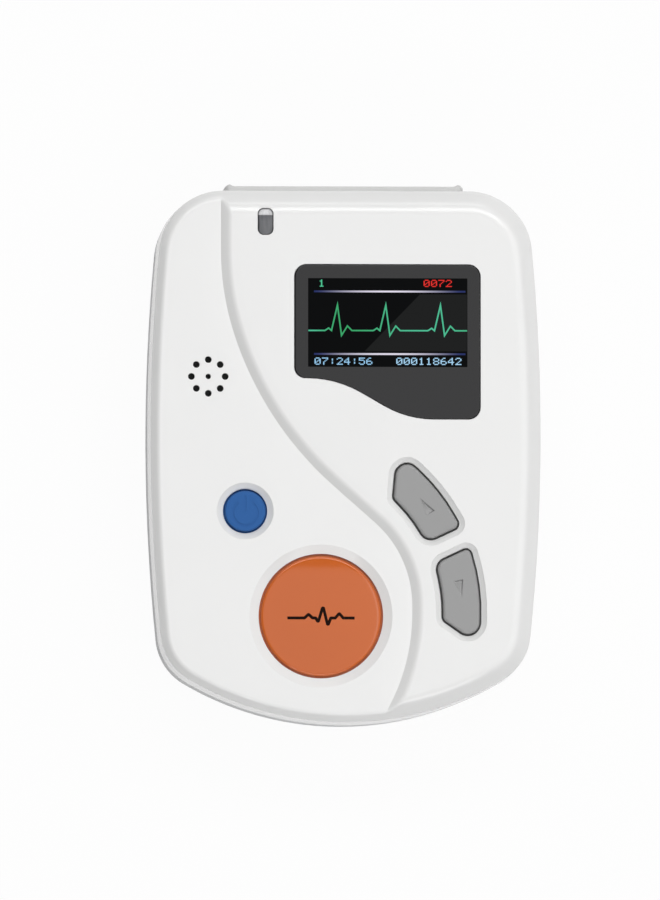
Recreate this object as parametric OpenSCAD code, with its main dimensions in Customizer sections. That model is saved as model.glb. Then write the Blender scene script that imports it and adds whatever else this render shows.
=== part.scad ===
// Wearable heart-rhythm recorder, lying on its back: +Z leaves the front face and
// +Y points to the end with the patient-cable socket. The origin is the middle of
// the footprint, on the surface that the recorder lies on.

/* [Casing] */
// Width of the casing at its widest
body_w = 69; // [67:0.5:72]
// Length of the casing without the socket frame
body_l = 93.6; // [92:0.2:98]
// Thickness from the rear face to the front face
body_h = 28; // [27.5:0.5:31]
// Height of the joint between the two shells
parting_z = 14; // [13:0.5:15.5]
// Thickness of the side walls
wall = 1.8; // [1.6:0.1:2.2]
// Thickness of the rear wall
rear_wall = 1.8; // [1.6:0.1:2.2]
// Thickness of the front wall under the lower part of the face
face_wall = 1.6; // [1.4:0.1:1.9]
// Radius of the long, nearly straight sides
side_r = 350; // [250:10:600]
// Distance from the bottom edge to the widest place
widest_up = 50.8; // [45:0.2:56]
// Radius of the bottom edge
bottom_r = 54.7; // [52:0.1:60]
// Radius of the two top corners
top_corner_r = 11.6; // [10:0.1:13]
// Radius of the two bottom corners
bottom_corner_r = 10.2; // [9:0.1:11.5]
// How much narrower each side is at the top of its wall
side_draft = 0.25; // [0:0.05:0.4]
// Radius of the rounded rear edge
rear_edge_r = 3; // [2:0.1:3.5]
// Thickness of the seal between the shells
gasket_t = 0.3; // [0.2:0.05:0.5]

/* [Front face] */
// Width of the bevel round the higher part of the face
bevel_w = 3.7; // [3:0.1:4.2]
// Fall of the bevel from the face to the side wall
bevel_fall = 2.4; // [2:0.1:2.8]
// Power of the bevel's curve, 1 for a straight chamfer
bevel_power = 1.3; // [1:0.1:2]
// Drop from the higher part of the face to the lower part
step_h = 1.2; // [0.8:0.1:1.5]
// Width of the sloped band between the two parts
step_w = 1.4; // [1:0.1:1.8]
// Reach of the sounder holes' ring from its centre
speaker_ring_r = 2.96; // [2.4:0.01:3.4]
// Radius of a sounder hole
speaker_hole_r = 0.6; // [0.4:0.05:0.7]
// Sounder holes in the ring
speaker_holes = 8; // [6:1:10]

/* [Window and screen] */
// Thickness of the display window
window_t = 1.5; // [1.2:0.1:1.8]
// Width of the ledge that the display window is glued to
window_ledge = 1; // [0.8:0.1:1.4]
// Radius of the display window's small corners
window_corner_r = 2.1; // [1.5:0.1:2.6]
// Width of the display glass
panel_w = 32; // [31:0.5:33]
// Length of the display glass
panel_l = 19.5; // [18.5:0.5:20]
// Thickness of the display glass
panel_t = 1.7; // [1.4:0.1:2]
// Width of the status window
status_w = 2.75; // [2.4:0.05:3.2]
// Length of the status window
status_l = 4.7; // [4:0.1:5.2]
// Corner radius of the status window
status_r = 0.95; // [0.6:0.05:1.1]

/* [Buttons] */
// Radius of the event button's cap
mark_r = 10.6; // [9.5:0.1:11]
// Travel of the event button
mark_travel = 0.8; // [0.5:0.1:1]
// Width of the sloped ring round the event button
mark_ring = 1.55; // [1.2:0.05:1.8]
// Radius of the power button's cap
power_r = 3.55; // [3:0.05:4]
// Width of the sloped ring round the power button
power_ring = 1.15; // [0.9:0.05:1.3]
// Travel of the power button and the two keys
key_travel = 0.5; // [0.3:0.1:0.7]
// Width of the recess round each key
key_recess = 0.87; // [0.6:0.01:1]
// Depth of the recess round each key
key_recess_h = 0.45; // [0.3:0.05:0.7]
// Side of a switch housing
switch_w = 6; // [5:0.5:6.5]
// Height of a switch housing
switch_h = 1.6; // [1.3:0.1:1.8]
// Radius of a switch plunger
plunger_r = 1.5; // [1.2:0.1:1.7]

/* [Patient-cable socket] */
// How far the socket frame stands out of the top end
panel_proud = 1.3; // [1:0.1:1.6]
// Height of the raised rims at the socket frame's two ends
frame_ear_h = 0.25; // [0.1:0.05:0.35]
// Width of the socket frame
frame_w = 41.2; // [40:0.2:43]
// Height of the socket frame
frame_h = 14.6; // [13.6:0.2:15.2]
// Width of the socket's recess
recess_w = 34; // [32:0.5:35]
// Height of the socket's recess
recess_h = 9; // [8:0.2:9.6]
// Depth of the socket's recess
recess_d = 6; // [5:0.2:6.6]
// Contacts in each of the two rows
contacts = 8; // [6:1:9]
// Distance between contacts in a row
contact_pitch = 3.6; // [3:0.1:3.6]

/* [Batteries and door] */
// Diameter of a battery cell where the casing has room for it
cell_d = 14.5; // [13.9:0.1:14.9]
// Length of a battery cell with its nub
cell_l = 50.5; // [49.5:0.1:50.9]
// Length of a squeezed contact spring
spring_l = 3.2; // [2.6:0.1:3.6]
// Thickness of the battery door
door_t = 1.6; // [1.4:0.1:1.7]
// Width of the battery door
door_w = 34.2; // [33.4:0.2:35.4]
// How far the battery door slides before it lifts off
door_travel = 8; // [6:0.5:9]

/* [Boards and screws] */
// Thickness of the main board
board_t = 1.6; // [1.2:0.1:1.8]
// Gap between the main board's edge and the side wall
board_gap = 1.4; // [1:0.1:1.8]
// Thickness of the front-end board
front_end_t = 1.2; // [1:0.1:1.6]
// Radius of a case screw's shank
case_screw_r = 1.25; // [1.1:0.05:1.5]
// Radius of a case screw's head
case_head_r = 2.2; // [2:0.1:2.4]
// Radius of a board screw's shank
board_screw_r = 1; // [0.9:0.05:1.1]
// Radius of a board screw's head
board_head_r = 1.9; // [1.7:0.1:2]

/* [Hidden] */
$fn = 64;

// Overlap that joins or cuts cleanly
eps = 0.1;
// Running gap round a button, and between a moving piece and its stop
gap = 0.2;
rest_gap = 0.08;
// Gap between fixed pieces that fit together, and between faces that rest on each other
fit_gap = 0.1;
seat_gap = 0.02;

// Edges of the casing
half_w = body_w / 2;
bottom_y = -(body_l + panel_proud) / 2;
top_y = bottom_y + body_l;
face_z = body_h;
low_z = face_z - step_h;
ceiling_z = low_z - face_wall;
rear_top_z = parting_z - gasket_t / 2;
front_base_z = parting_z + gasket_t / 2;
// Spread of the layout, which is drawn for a casing of 69 x 93.6
spread = [body_w / 69, body_l / 93.6];
// Lip on the rear shell that fits inside the front shell, and the seal's edge
lap_h = 1.4;
lap_t = 0.75;
lap_root = 2;
seal_inset = 0.35;

// Centres of the curves that make up the right half of the outline
side_c = [half_w - side_r, bottom_y + widest_up];
bottom_c = [0, bottom_y + bottom_r];
top_corner_y = top_y - top_corner_r;
top_c = [side_c.x + sqrt(pow(side_r - top_corner_r, 2) - pow(top_corner_y - side_c.y, 2)), top_corner_y];
corner_c = circles_meet(side_c, side_r - bottom_corner_r, bottom_c, bottom_r - bottom_corner_r);

// Batteries and boards, from the rear face up; the switches and the display need front_room
cell_gap = 0.3;
well_side_gap = 0.65;
well_wall = 1.2;
well_roof_t = 1;
front_room = 5;
cell_room = ceiling_z - front_room - board_t - well_roof_t - 3 * cell_gap - rear_wall;
cell_fit_d = min(cell_d, cell_room);
cell_z = rear_wall + cell_gap + cell_fit_d / 2;
cell_x = cell_fit_d / 2 + cell_gap / 2;
well_half = cell_fit_d + cell_gap / 2 + well_side_gap;
well_roof_z = cell_z + cell_fit_d / 2 + cell_gap;
well_low_y = bottom_y + 6;
plate_t = 0.4;
plate_half = [0.4, 0.38] * cell_fit_d;
well_l = cell_l + spring_l + 2 * plate_t + fit_gap;
well_high_y = well_low_y + well_l;
board_z = well_roof_z + well_roof_t + cell_gap;
board_top = board_z + board_t;

// Battery door, its rails and its hooks
door_half = door_w / 2;
door_corner = 3;
door_border = 1;
door_high_y = well_high_y + well_wall + 0.8;
door_recess = 0.15;
rail_z = rear_wall + 1.3;
hook_t = 0.9;
hook_reach = 1.1;
hook_l = 4;
hook_h = 1.2;
hook_x = well_half - hook_t - gap;
hook_spots = [well_low_y + 14, well_high_y - 6];

// Socket at the top end
recess_corner = 1.5;
sleeve_wall = 1.2;
sleeve_l = 8;
sleeve_under = 1.2;
socket_z = board_z - sleeve_under - sleeve_wall - recess_h / 2;
sleeve_y = top_y - sleeve_l;
frame_front_y = top_y + panel_proud;
plate_front_y = frame_front_y - frame_ear_h;
block_front_y = plate_front_y - recess_d;
contact_r = 0.6;
contact_row = 1.27;
tail_r = 0.35;
tail_l = 2.6;
frame_corners = [1, 2];
frame_chamfer = 0.7;
frame_ear_w = 1.1;

// Face features: places are spread with the casing, and the status window follows the top edge
screen_c = placed([7.2, 22.75]);
status_c = [-14.2 * spread.x, top_y - 5.55];
speaker_c = placed([-24.2, 13.4]);
mark_c = placed([-4.4, -28.6]);
power_c = placed([-17.7, -10.2]);
up_c = placed([13.4, -8.4]);
down_c = placed([20, -24]);
button_top_z = low_z - 0.1;
key_top_z = face_z + 0.05;
window_sink = 0.05;
stem_low_z = board_top + 2.4;
key_stem_r = 2;
flange_t = 1;
flange_z = ceiling_z - rest_gap - flange_t;
lug = 0.8;
key_lug = 0.6;
status_lug = 0.7;
ring_fall = 0.8;
plunger_under = 0.1;
switch_floor = 0.25;
speaker_r = 6.5;
speaker_top = ceiling_z - 0.8;
mesh_r = 4.6;
mesh_t = 0.3;

// Corners of the step between the two parts of the face, with their radii, from the top down
step_corners = placed_corners([[-22, 50.15, 0], [-22, 28.2, 47.5], [-14.7, 5.3, 60], [11.6, -18, 19.4],
    [11.6, -36.5, 35], [4, -51.45, 0]]);
// Corners of the display window, counter-clockwise
window_corners = placed_corners([[-9.1, 33.05, window_corner_r], [-9.1, 13.15, 1.9], [-1.8, 13.15, 19],
    [10.7, 5.95, 17.5], [23.5, 5.95, window_corner_r], [23.5, 33.05, window_corner_r]]);
// Corners of the openings for the two keys, counter-clockwise
up_corners = placed_corners([[8.5, -3.1, 2.1], [8.05, -8.05, 1.4], [11.3, -11.4, 26], [14, -15.9, 2.25],
    [20.3, -12.95, 1.25], [16.45, -6.25, 33], [10.55, -0.85, 2.2]]);
down_corners = placed_corners([[15.45, -19.25, 2.2], [16.8, -25.1, 25], [16.75, -29.35, 1.35],
    [21.75, -32.85, 2.25], [23.6, -30.55, 2.4], [23.9, -23.35, 34], [21.7, -16.3, 1.15]]);

// Screw places
case_spots = [for (p = [[27.5, 36.95], [-27.5, 36.95], [26, -34.05], [-26, -34.05]]) placed(p)];
case_boss_r = 3;
rear_boss_extra = 0.3;
case_head_h = 1.6;
case_seat_z = 8;
case_bite = 7;
board_spots = [for (p = [[-27, 26], [28.5, 2], [-27, -21], [20, -37.85]]) placed(p)];
board_boss_r = 2;
board_head_h = 1.3;
board_bite = 3.6;

// Front-end board between the battery bay, the socket and the screw bosses, with its four posts
front_end_post_r = 2;
front_end_pin_r = 0.9;
front_end_half = case_spots[0].x - case_boss_r - 2.5;
front_end_low_y = well_high_y + well_wall + 1.15;
front_end_high_y = sleeve_y - gap;
front_end_z = socket_z - front_end_t / 2;
front_end_spots = [for (x = [1, -1], y = [front_end_low_y + 3, front_end_high_y - 4])
    [x * (front_end_half - 3), y]];

// Display with its frame and its folded ribbon
panel_z = ceiling_z - gap - panel_t;
panel_low = screen_c - [panel_w, panel_l] / 2;
panel_high = screen_c + [panel_w, panel_l] / 2;
panel_rim = 1.2;
panel_seat = 2;
ribbon_half = 5;
ribbon_t = 0.2;
ribbon_z = panel_z - 1.1;

// Low and high corners of the parts on the boards, and their heights
processor_box = on_front_end(-10, 2, 0.2, 0.73);
memory_box = on_front_end(5, 13, 0.22, 0.71);
chip_h = 1.1;
connector_box = on_front_end(13.5, 17.5, 0.29, 0.69);
shield_box = on_front_end(-12, 11, 0.11, 0.78);
shield_h = 2.6;
backup_c = placed([-24.4, -0.4]);
backup_r = 6.1;
backup_h = 2.5;
led_half = [0.8, 1.6];
led_h = 1;

// A place, and corners with their radii, spread with the casing
function placed(p) = [p.x * spread.x, p.y * spread.y];
function placed_corners(pts) =
    [for (p = pts) [p.x * spread.x, p.y * spread.y, p[2] * min(spread.x, spread.y)]];

// Corners of a plan between two x, and between two shares of the front-end board's length
function on_front_end(x0, x1, t0, t1) =
    let (span = front_end_high_y - front_end_low_y)
    [[x0, front_end_low_y + t0 * span], [x1, front_end_low_y + t1 * span]];

function unit(v) = v / norm(v);

function arc(c, r, from, to, steps) =
    [for (i = [0:steps]) let (a = from + (to - from) * i / steps) c + r * [cos(a), sin(a)]];

// Where two circles meet, on the side away from the line's left
function circles_meet(c1, r1, c2, r2) =
    let (span = norm(c2 - c1), u = unit(c2 - c1), along = (r1 * r1 - r2 * r2 + span * span) / (2 * span))
    c1 + along * u + sqrt(r1 * r1 - along * along) * [u.y, -u.x];

function angle_of(v) = atan2(v.y, v.x);

// The casing's outline, moved inwards by a distance: four tangent arcs and their mirror image
function outline(inset = 0) =
    let (
        low = angle_of(corner_c - bottom_c) + 360,
        flank = angle_of(corner_c - side_c) + 360,
        high = angle_of(top_c - side_c) + 360,
        half = concat(
            arc(bottom_c, bottom_r - inset, 270, low, 6),
            arc(corner_c, bottom_corner_r - inset, low, flank, 7),
            arc(side_c, side_r - inset, flank, high, 6),
            arc(top_c, top_corner_r - inset, high, 450, 8)),
        right = [for (i = [0:len(half) - 1]) if (i == 0 || norm(half[i] - half[i - 1]) > 0.01) half[i]])
    concat(right, [for (i = [len(right) - 1:-1:1]) [-right[i].x, right[i].y]]);

// A rounded corner at p between the lines to a and b
function corner(a, p, b) =
    let (
        here = [p.x, p.y], u = unit([a.x, a.y] - here), v = unit([b.x, b.y] - here),
        half = acos(u * v) / 2, o = here + unit(u + v) * p[2] / sin(half), reach = p[2] / tan(half),
        from = angle_of(here + u * reach - o),
        turn = (angle_of(here + v * reach - o) - from + 540) % 360 - 180)
    p[2] == 0 ? [here] : arc(o, p[2], from, from + turn, max(2, ceil(abs(turn) / 10)));

function rounded(corners) =
    let (n = len(corners))
    [for (i = [0:n - 1]) each corner(corners[(i + n - 1) % n], corners[i], corners[(i + 1) % n])];

function rounded_path(corners) =
    let (n = len(corners))
    [for (i = [0:n - 1]) each i == 0 || i == n - 1
        ? [[corners[i].x, corners[i].y]] : corner(corners[i - 1], corners[i], corners[i + 1])];

function edge_normal(a, b) = unit([b.y - a.y, a.x - b.x]);

// A point moved off its two neighbouring edges by a distance
function moved(before, here, after, d) =
    let (n1 = edge_normal(before, here), n2 = edge_normal(here, after))
    here + d * (n1 + n2) / (1 + n1 * n2);

// A closed outline grown by a distance
function grown(pts, d) =
    let (n = len(pts)) [for (i = [0:n - 1]) moved(pts[(i + n - 1) % n], pts[i], pts[(i + 1) % n], d)];

// An open path moved sideways by a distance
function shifted(pts, d) =
    let (n = len(pts))
    [for (i = [0:n - 1]) i == 0 ? pts[0] + d * edge_normal(pts[0], pts[1])
        : i == n - 1 ? pts[i] + d * edge_normal(pts[i - 1], pts[i])
        : moved(pts[i - 1], pts[i], pts[i + 1], d)];

// The status window's outline, grown by a distance
function status_outline(extra) =
    let (half = [status_w / 2 + extra, status_l / 2 + extra])
    rounded([for (s = [[-1, 1], [-1, -1], [1, -1], [1, 1]])
        [status_c.x + s.x * half.x, status_c.y + s.y * half.y, status_r + extra]]);

function at_height(pts, z) = [for (p = pts) [p.x, p.y, z]];

// Height of the face's bevel at a distance in from the edge of the side wall
function bevel_z(d) = face_z - bevel_fall * pow(max(0, 1 - d / bevel_w), bevel_power);

window_outline = rounded(window_corners);
up_outline = rounded(up_corners);
down_outline = rounded(down_corners);
step_foot = rounded_path(step_corners);

// A closed skin over rings with equal numbers of points, counter-clockwise and rising
module skin(rings) {
    n = len(rings[0]);
    m = len(rings);
    polyhedron(
        points = [for (r = rings) each r],
        faces = concat(
            [[for (i = [0:n - 1]) i]],
            [for (j = [0:m - 2], i = [0:n - 1]) [j * n + i, (j + 1) * n + i, (j + 1) * n + (i + 1) % n]],
            [for (j = [0:m - 2], i = [0:n - 1]) [j * n + i, (j + 1) * n + (i + 1) % n, j * n + (i + 1) % n]],
            [[for (i = [n - 1:-1:0]) (m - 1) * n + i]]));
}

module prism(pts, from, to) {
    translate([0, 0, from]) linear_extrude(to - from) polygon(pts);
}

module disc(c, r, from, to) {
    translate([c.x, c.y, from]) cylinder(r = r, h = to - from);
}

module tube(c, r, bore_r, from, to) {
    difference() {
        disc(c, r, from, to);
        disc(c, bore_r, from - eps, to + eps);
    }
}

module block(low, high) {
    translate(low) cube(high - low);
}

// A block over a plan given by two corners
module box_on(plan, from, to) {
    block([plan[0].x, plan[0].y, from], [plan[1].x, plan[1].y, to]);
}

// A band of the casing's outline, between two insets
module band(outer, inner, from, to) {
    translate([0, 0, from]) linear_extrude(to - from) difference() {
        polygon(outline(outer));
        polygon(outline(inner));
    }
}

// The front shell's outside: draft, then the curved bevel
module front_outside() {
    steps = [0, 0.12, 0.28, 0.47, 0.7, 1];
    skin(concat(
        [at_height(outline(0), front_base_z)],
        [for (s = steps) at_height(outline(side_draft + s * bevel_w), bevel_z(s * bevel_w))]));
}

// Everything above the lower part of the face, up to the sloped band of the step
module step_cutter() {
    over = 1;
    foot = step_foot;
    crest = shifted(foot, -step_w * (1 + over / step_h));
    far = -half_w - 5;
    skin([for (i = [0:len(foot) - 1]) [
        [far, foot[i].y, face_z + over], [far, foot[i].y, low_z],
        [foot[i].x, foot[i].y, low_z], [crest[i].x, crest[i].y, face_z + over]]]);
}

// The hollow of the front shell, with a sloped shoulder under the bevel
module front_hollow() {
    shoulder = 1.6;
    skin([
        at_height(outline(wall), front_base_z - eps),
        at_height(outline(wall), ceiling_z - shoulder),
        at_height(outline(wall + shoulder / 2), ceiling_z - shoulder / 4),
        at_height(outline(wall + shoulder), ceiling_z)]);
}

module round_well(c, r, ring, top_z) {
    fall = ring_fall;
    disc(c, r + gap, ceiling_z - eps, top_z + 1);
    translate([c.x, c.y, top_z - fall])
        cylinder(r1 = r + gap, r2 = r + gap + ring * (fall + eps) / fall, h = fall + eps);
}

module key_well(pts) {
    prism(pts, ceiling_z - eps, face_z + 1);
    prism(grown(pts, key_recess), face_z - key_recess_h, face_z + 1);
}

module front_cover() {
    color([0.93, 0.93, 0.92]) difference() {
        union() {
            difference() {
                front_outside();
                step_cutter();
                front_hollow();
            }
            for (c = case_spots) disc(c, case_boss_r, front_base_z, ceiling_z + eps);
            for (c = board_spots) disc(c, board_boss_r, board_top, ceiling_z + eps);
        }
        for (c = case_spots)
            disc(c, case_screw_r + fit_gap / 4, front_base_z - eps, front_base_z + case_bite + eps);
        for (c = board_spots)
            disc(c, board_screw_r + fit_gap / 4, board_top - eps, board_top + board_bite + eps);
        band(-eps + lap_t + fit_gap, wall + eps, front_base_z - eps, front_base_z + lap_h);
        prism(grown(window_outline, fit_gap), face_z - window_t, face_z + 1);
        prism(grown(window_outline, -window_ledge), ceiling_z - eps, face_z);
        prism(status_outline(fit_gap), ceiling_z - 1, face_z + 1);
        round_well(mark_c, mark_r, mark_ring, low_z);
        round_well(power_c, power_r, power_ring, low_z);
        key_well(up_outline);
        key_well(down_outline);
        disc(speaker_c, speaker_hole_r * 0.8, ceiling_z - eps, face_z);
        for (i = [0:speaker_holes - 1])
            disc(speaker_c + speaker_ring_r * [sin(360 * i / speaker_holes), cos(360 * i / speaker_holes)],
                speaker_hole_r, ceiling_z - eps, face_z);
        socket_cut();
    }
}

// Room for the socket's sleeve through the top end of both shells
module socket_cut() {
    half = recess_w / 2 + sleeve_wall + fit_gap;
    block([-half, sleeve_y - fit_gap, socket_z - recess_h / 2 - sleeve_wall - fit_gap],
        [half, top_y + eps, socket_z + recess_h / 2 + sleeve_wall + fit_gap]);
}

// The rear shell's outside: rounded edge, then draft up to the joint
module rear_outside() {
    turns = [0, 25, 50, 70, 90];
    skin(concat(
        [for (a = turns) at_height(
            outline(side_draft / 2 + rear_edge_r * (1 - sin(a))), rear_edge_r * (1 - cos(a)))],
        [at_height(outline(0), rear_top_z)]));
}

module rear_hollow() {
    ease = 0.3;
    skin([
        at_height(outline(rear_edge_r + ease), rear_wall),
        at_height(outline(wall + side_draft), rear_edge_r + ease),
        at_height(outline(wall), rear_top_z + eps)]);
}

// Slots that the door's hooks slide in, and the notches that they leave through
module hook_slots() {
    for (s = [-1, 1], y = hook_spots) {
        low = y - hook_l / 2 - door_travel - gap;
        high = y + hook_l / 2 + gap;
        reach = hook_reach + gap;
        xs = s > 0 ? [well_half - eps, well_half + reach] : [-well_half - reach, -well_half + eps];
        block([xs[0], low, rail_z - eps], [xs[1], high, rail_z + hook_h + 2 * gap]);
        block([xs[0], low, rear_wall - eps], [xs[1], low + hook_l + 2 * gap, rail_z]);
    }
}

module rear_cover() {
    color([0.72, 0.73, 0.74]) difference() {
        union() {
            difference() {
                rear_outside();
                rear_hollow();
            }
            band(lap_t + 2 * fit_gap, wall, rear_top_z - lap_root, front_base_z + lap_h - fit_gap);
            for (c = case_spots) disc(c, case_boss_r + rear_boss_extra, rear_wall - eps, rear_top_z);
            for (c = front_end_spots) {
                disc(c, front_end_post_r, rear_wall - eps, front_end_z);
                disc(c, front_end_pin_r, rear_wall - eps, front_end_z + front_end_t + 0.4);
            }
            block([-well_half - well_wall, well_low_y - well_wall, rear_wall - eps],
                [well_half + well_wall, well_high_y + well_wall, well_roof_z + well_roof_t]);
            block([-door_half - door_border, well_low_y, rear_wall - eps],
                [door_half + door_border, well_high_y + well_wall, rail_z]);
        }
        block([-well_half, well_low_y, -eps], [well_half, well_high_y, well_roof_z]);
        door_shape(fit_gap, -eps, rear_wall);
        hook_slots();
        for (c = case_spots) {
            disc(c, case_head_r + gap, -eps, case_seat_z);
            disc(c, case_screw_r + gap, 0, rear_top_z + eps);
        }
        socket_cut();
    }
}

// The door's plan: a strip that runs out through the bottom end
module door_shape(extra, from, to) {
    half = door_half + extra;
    high = door_high_y + extra;
    low = bottom_y - 2;
    prism(rounded([[-half, high, door_corner], [-half, low, 0], [half, low, 0], [half, high, door_corner]]),
        from, to);
}

module battery_door() {
    color([0.70, 0.71, 0.72]) difference() {
        union() {
            intersection() {
                rear_outside();
                door_shape(-fit_gap, door_recess, door_recess + door_t);
            }
            for (s = [-1, 1], y = hook_spots) {
                xs = s > 0 ? [hook_x, hook_x + hook_t] : [-hook_x - hook_t, -hook_x];
                lip = s > 0 ? [hook_x, well_half + hook_reach] : [-well_half - hook_reach, -hook_x];
                ys = [y - hook_l / 2, y + hook_l / 2];
                block([xs[0], ys[0], door_t], [xs[1], ys[1], rail_z + gap + hook_h]);
                block([lip[0], ys[0], rail_z + gap], [lip[1], ys[1], rail_z + gap + hook_h]);
            }
        }
        grip_grooves();
    }
}

// Thumb grip near the bottom end of the door
module grip_grooves() {
    depth = 0.5;
    half = 9;
    groove = 0.9;
    for (y = [bottom_y + 8:2:bottom_y + 16])
        block([-half, y, -eps], [half, y + groove, door_recess + depth]);
}

module case_gasket() {
    color([0.22, 0.22, 0.23]) difference() {
        band(seal_inset, lap_t + fit_gap, rear_top_z, front_base_z);
        socket_cut();
    }
}

module xz_prism(pts, from, to) {
    translate([0, to, 0]) rotate([90, 0, 0]) linear_extrude(to - from) polygon(pts);
}

// The socket's frame, with a raised rim and a chamfer at both ends, and its sleeve
module end_panel() {
    half = frame_w / 2;
    low = socket_z - frame_h / 2;
    high = socket_z + frame_h / 2;
    edge = frame_corners;
    ear = [half - frame_ear_w, frame_front_y];
    side = [[half + eps, top_y], [half + eps, frame_front_y - frame_chamfer - eps],
        [half - frame_chamfer, frame_front_y], ear, ear - frame_ear_h * [1, 1]];
    sleeve = [recess_w / 2 + sleeve_wall, recess_h / 2 + sleeve_wall];
    color([0.86, 0.86, 0.85]) difference() {
        union() {
            intersection() {
                xz_prism(
                    rounded([[-half, high, edge[0]], [-half, low, edge[1]],
                        [half, low, edge[1]], [half, high, edge[0]]]),
                    top_y + seat_gap, frame_front_y);
                prism(concat(side, [for (i = [len(side) - 1:-1:0]) [-side[i].x, side[i].y]]),
                    low - eps, high + eps);
            }
            block([-sleeve.x, sleeve_y, socket_z - sleeve.y],
                [sleeve.x, top_y + panel_proud / 2, socket_z + sleeve.y]);
        }
        recess_prism(0, sleeve_y - eps, frame_front_y + eps);
    }
}

// The plug recess's section along Y, smaller by a distance
module recess_prism(less, from, to) {
    half = [recess_w / 2 - less, recess_h / 2 - less];
    xz_prism(rounded([for (s = [[-1, 1], [-1, -1], [1, -1], [1, 1]])
        [s.x * half.x, socket_z + s.y * half.y, recess_corner - less]]), from, to);
}

function contact_spots() = [for (i = [0:contacts - 1], s = [-1, 1])
    [(i - (contacts - 1) / 2) * contact_pitch, socket_z + s * contact_row]];

module y_rod(c, r, from, to) {
    translate([c.x, from, c.y]) rotate([-90, 0, 0]) cylinder(r = r, h = to - from, $fn = 32);
}

module patient_cable_socket() {
    color([0.12, 0.12, 0.13]) difference() {
        recess_prism(fit_gap, sleeve_y, block_front_y);
        for (c = contact_spots()) y_rod(c, contact_r + fit_gap / 2, sleeve_y - eps, block_front_y + eps);
    }
}

module socket_contacts() {
    back = 0.5;
    color([0.85, 0.68, 0.32]) for (c = contact_spots()) difference() {
        union() {
            y_rod(c, contact_r, sleeve_y + back, block_front_y - gap);
            y_rod(c, tail_r, sleeve_y - tail_l, sleeve_y + back + eps);
        }
        y_rod(c, contact_r * 0.6, sleeve_y + 2 * back, block_front_y);
    }
}

module display_window() {
    color([0.24, 0.24, 0.25]) prism(window_outline, face_z - window_t, face_z - window_sink);
}

module status_window() {
    half = [status_w, status_l] / 2;
    color([0.45, 0.45, 0.46, 0.8]) union() {
        intersection() {
            prism(status_outline(0), board_top + led_h + gap, face_z);
            translate([0, 0, -window_sink]) front_outside();
        }
        box_on([status_c - half - status_lug * [1, 1], status_c + [half.x + status_lug, 0]],
            flange_z, ceiling_z - fit_gap);
    }
}

module speaker_mesh() {
    color([0.10, 0.10, 0.10]) disc(speaker_c, mesh_r, ceiling_z - mesh_t, ceiling_z);
}

module speaker_seal() {
    color([0.2, 0.2, 0.2]) tube(speaker_c, speaker_r - 0.5, mesh_r - 0.4, speaker_top, ceiling_z - mesh_t);
}

module speaker() {
    port_r = 1.2;
    color([0.15, 0.15, 0.16]) difference() {
        disc(speaker_c, speaker_r, board_top, speaker_top);
        disc(speaker_c, port_r, speaker_top - 1, speaker_top + eps);
    }
}

// A round cap with a rounded, slightly dished top, a hollow underside, a stem and a retaining flange
module round_button(c, r, top_z, dish) {
    roof_t = 1.4;
    skirt_t = 1.1;
    edge = min(0.8, r / 5);
    roof_z = top_z - roof_t;
    stem_r = min(2.4, r * 0.45);
    bore_r = r - skirt_t;
    rim = [for (i = [0:6]) let (a = 90 * i / 6) [r - edge + edge * cos(a), top_z - edge + edge * sin(a)]];
    translate([c.x, c.y, 0]) rotate_extrude() polygon(concat(
        [[0, stem_low_z], [stem_r, stem_low_z], [stem_r, roof_z], [bore_r, roof_z], [bore_r, flange_z],
            [r + lug, flange_z], [r + lug, flange_z + flange_t], [r, flange_z + flange_t]],
        rim,
        [[r - 2 * edge, top_z - dish], [0, top_z - dish]]));
}

module mark_button() {
    color([0.78, 0.42, 0.24]) round_button(mark_c, mark_r, button_top_z, 0.2);
}

module power_button() {
    cut = 0.15;
    open = 70;
    ring_r = power_r * 0.62;
    line = 0.35;
    color([0.20, 0.39, 0.62]) difference() {
        round_button(power_c, power_r, button_top_z, 0.02);
        translate([power_c.x, power_c.y, button_top_z - cut]) {
            rotate([0, 0, 90 + open / 2]) rotate_extrude(angle = 360 - open)
                translate([ring_r - line / 2, 0]) square([line, cut + eps]);
            translate([-line / 2, ring_r * 0.2, 0]) cube([line, ring_r, cut + eps]);
        }
    }
}

// A key with its retaining flange and a stem over its switch
module key(pts, c) {
    prism(grown(pts, -gap), flange_z + eps, key_top_z);
    prism(grown(pts, key_lug), flange_z, flange_z + flange_t);
    disc(c, key_stem_r, stem_low_z, flange_z + eps);
}

// An engraved arrow, given by its three corners
module arrow(corners) {
    depth = 0.2;
    prism([for (p = corners) placed(p)], key_top_z - depth, key_top_z + eps);
}

module up_key() {
    color([0.64, 0.64, 0.64]) difference() {
        key(up_outline, up_c);
        arrow([[12.9, -7.9], [14, -11], [15.55, -10.15]]);
    }
}

module down_key() {
    color([0.64, 0.64, 0.64]) difference() {
        key(down_outline, down_c);
        arrow([[18.8, -22.5], [20.35, -25.4], [20.5, -22.15]]);
    }
}

module plunger(c, travel) {
    low = board_top + switch_floor + travel + plunger_under;
    color([0.85, 0.85, 0.8]) disc(c, plunger_r, low, stem_low_z);
}

module switch_housing(c) {
    half = switch_w / 2;
    color([0.16, 0.16, 0.17]) difference() {
        block([c.x - half, c.y - half, board_top], [c.x + half, c.y + half, board_top + switch_h]);
        disc(c, plunger_r + fit_gap, board_top + switch_floor, board_top + switch_h + eps);
    }
}

module mark_plunger() { plunger(mark_c, mark_travel); }
module power_plunger() { plunger(power_c, key_travel); }
module up_plunger() { plunger(up_c, key_travel); }
module down_plunger() { plunger(down_c, key_travel); }
module mark_switch() { switch_housing(mark_c); }
module power_switch() { switch_housing(power_c); }
module up_switch() { switch_housing(up_c); }
module down_switch() { switch_housing(down_c); }

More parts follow.
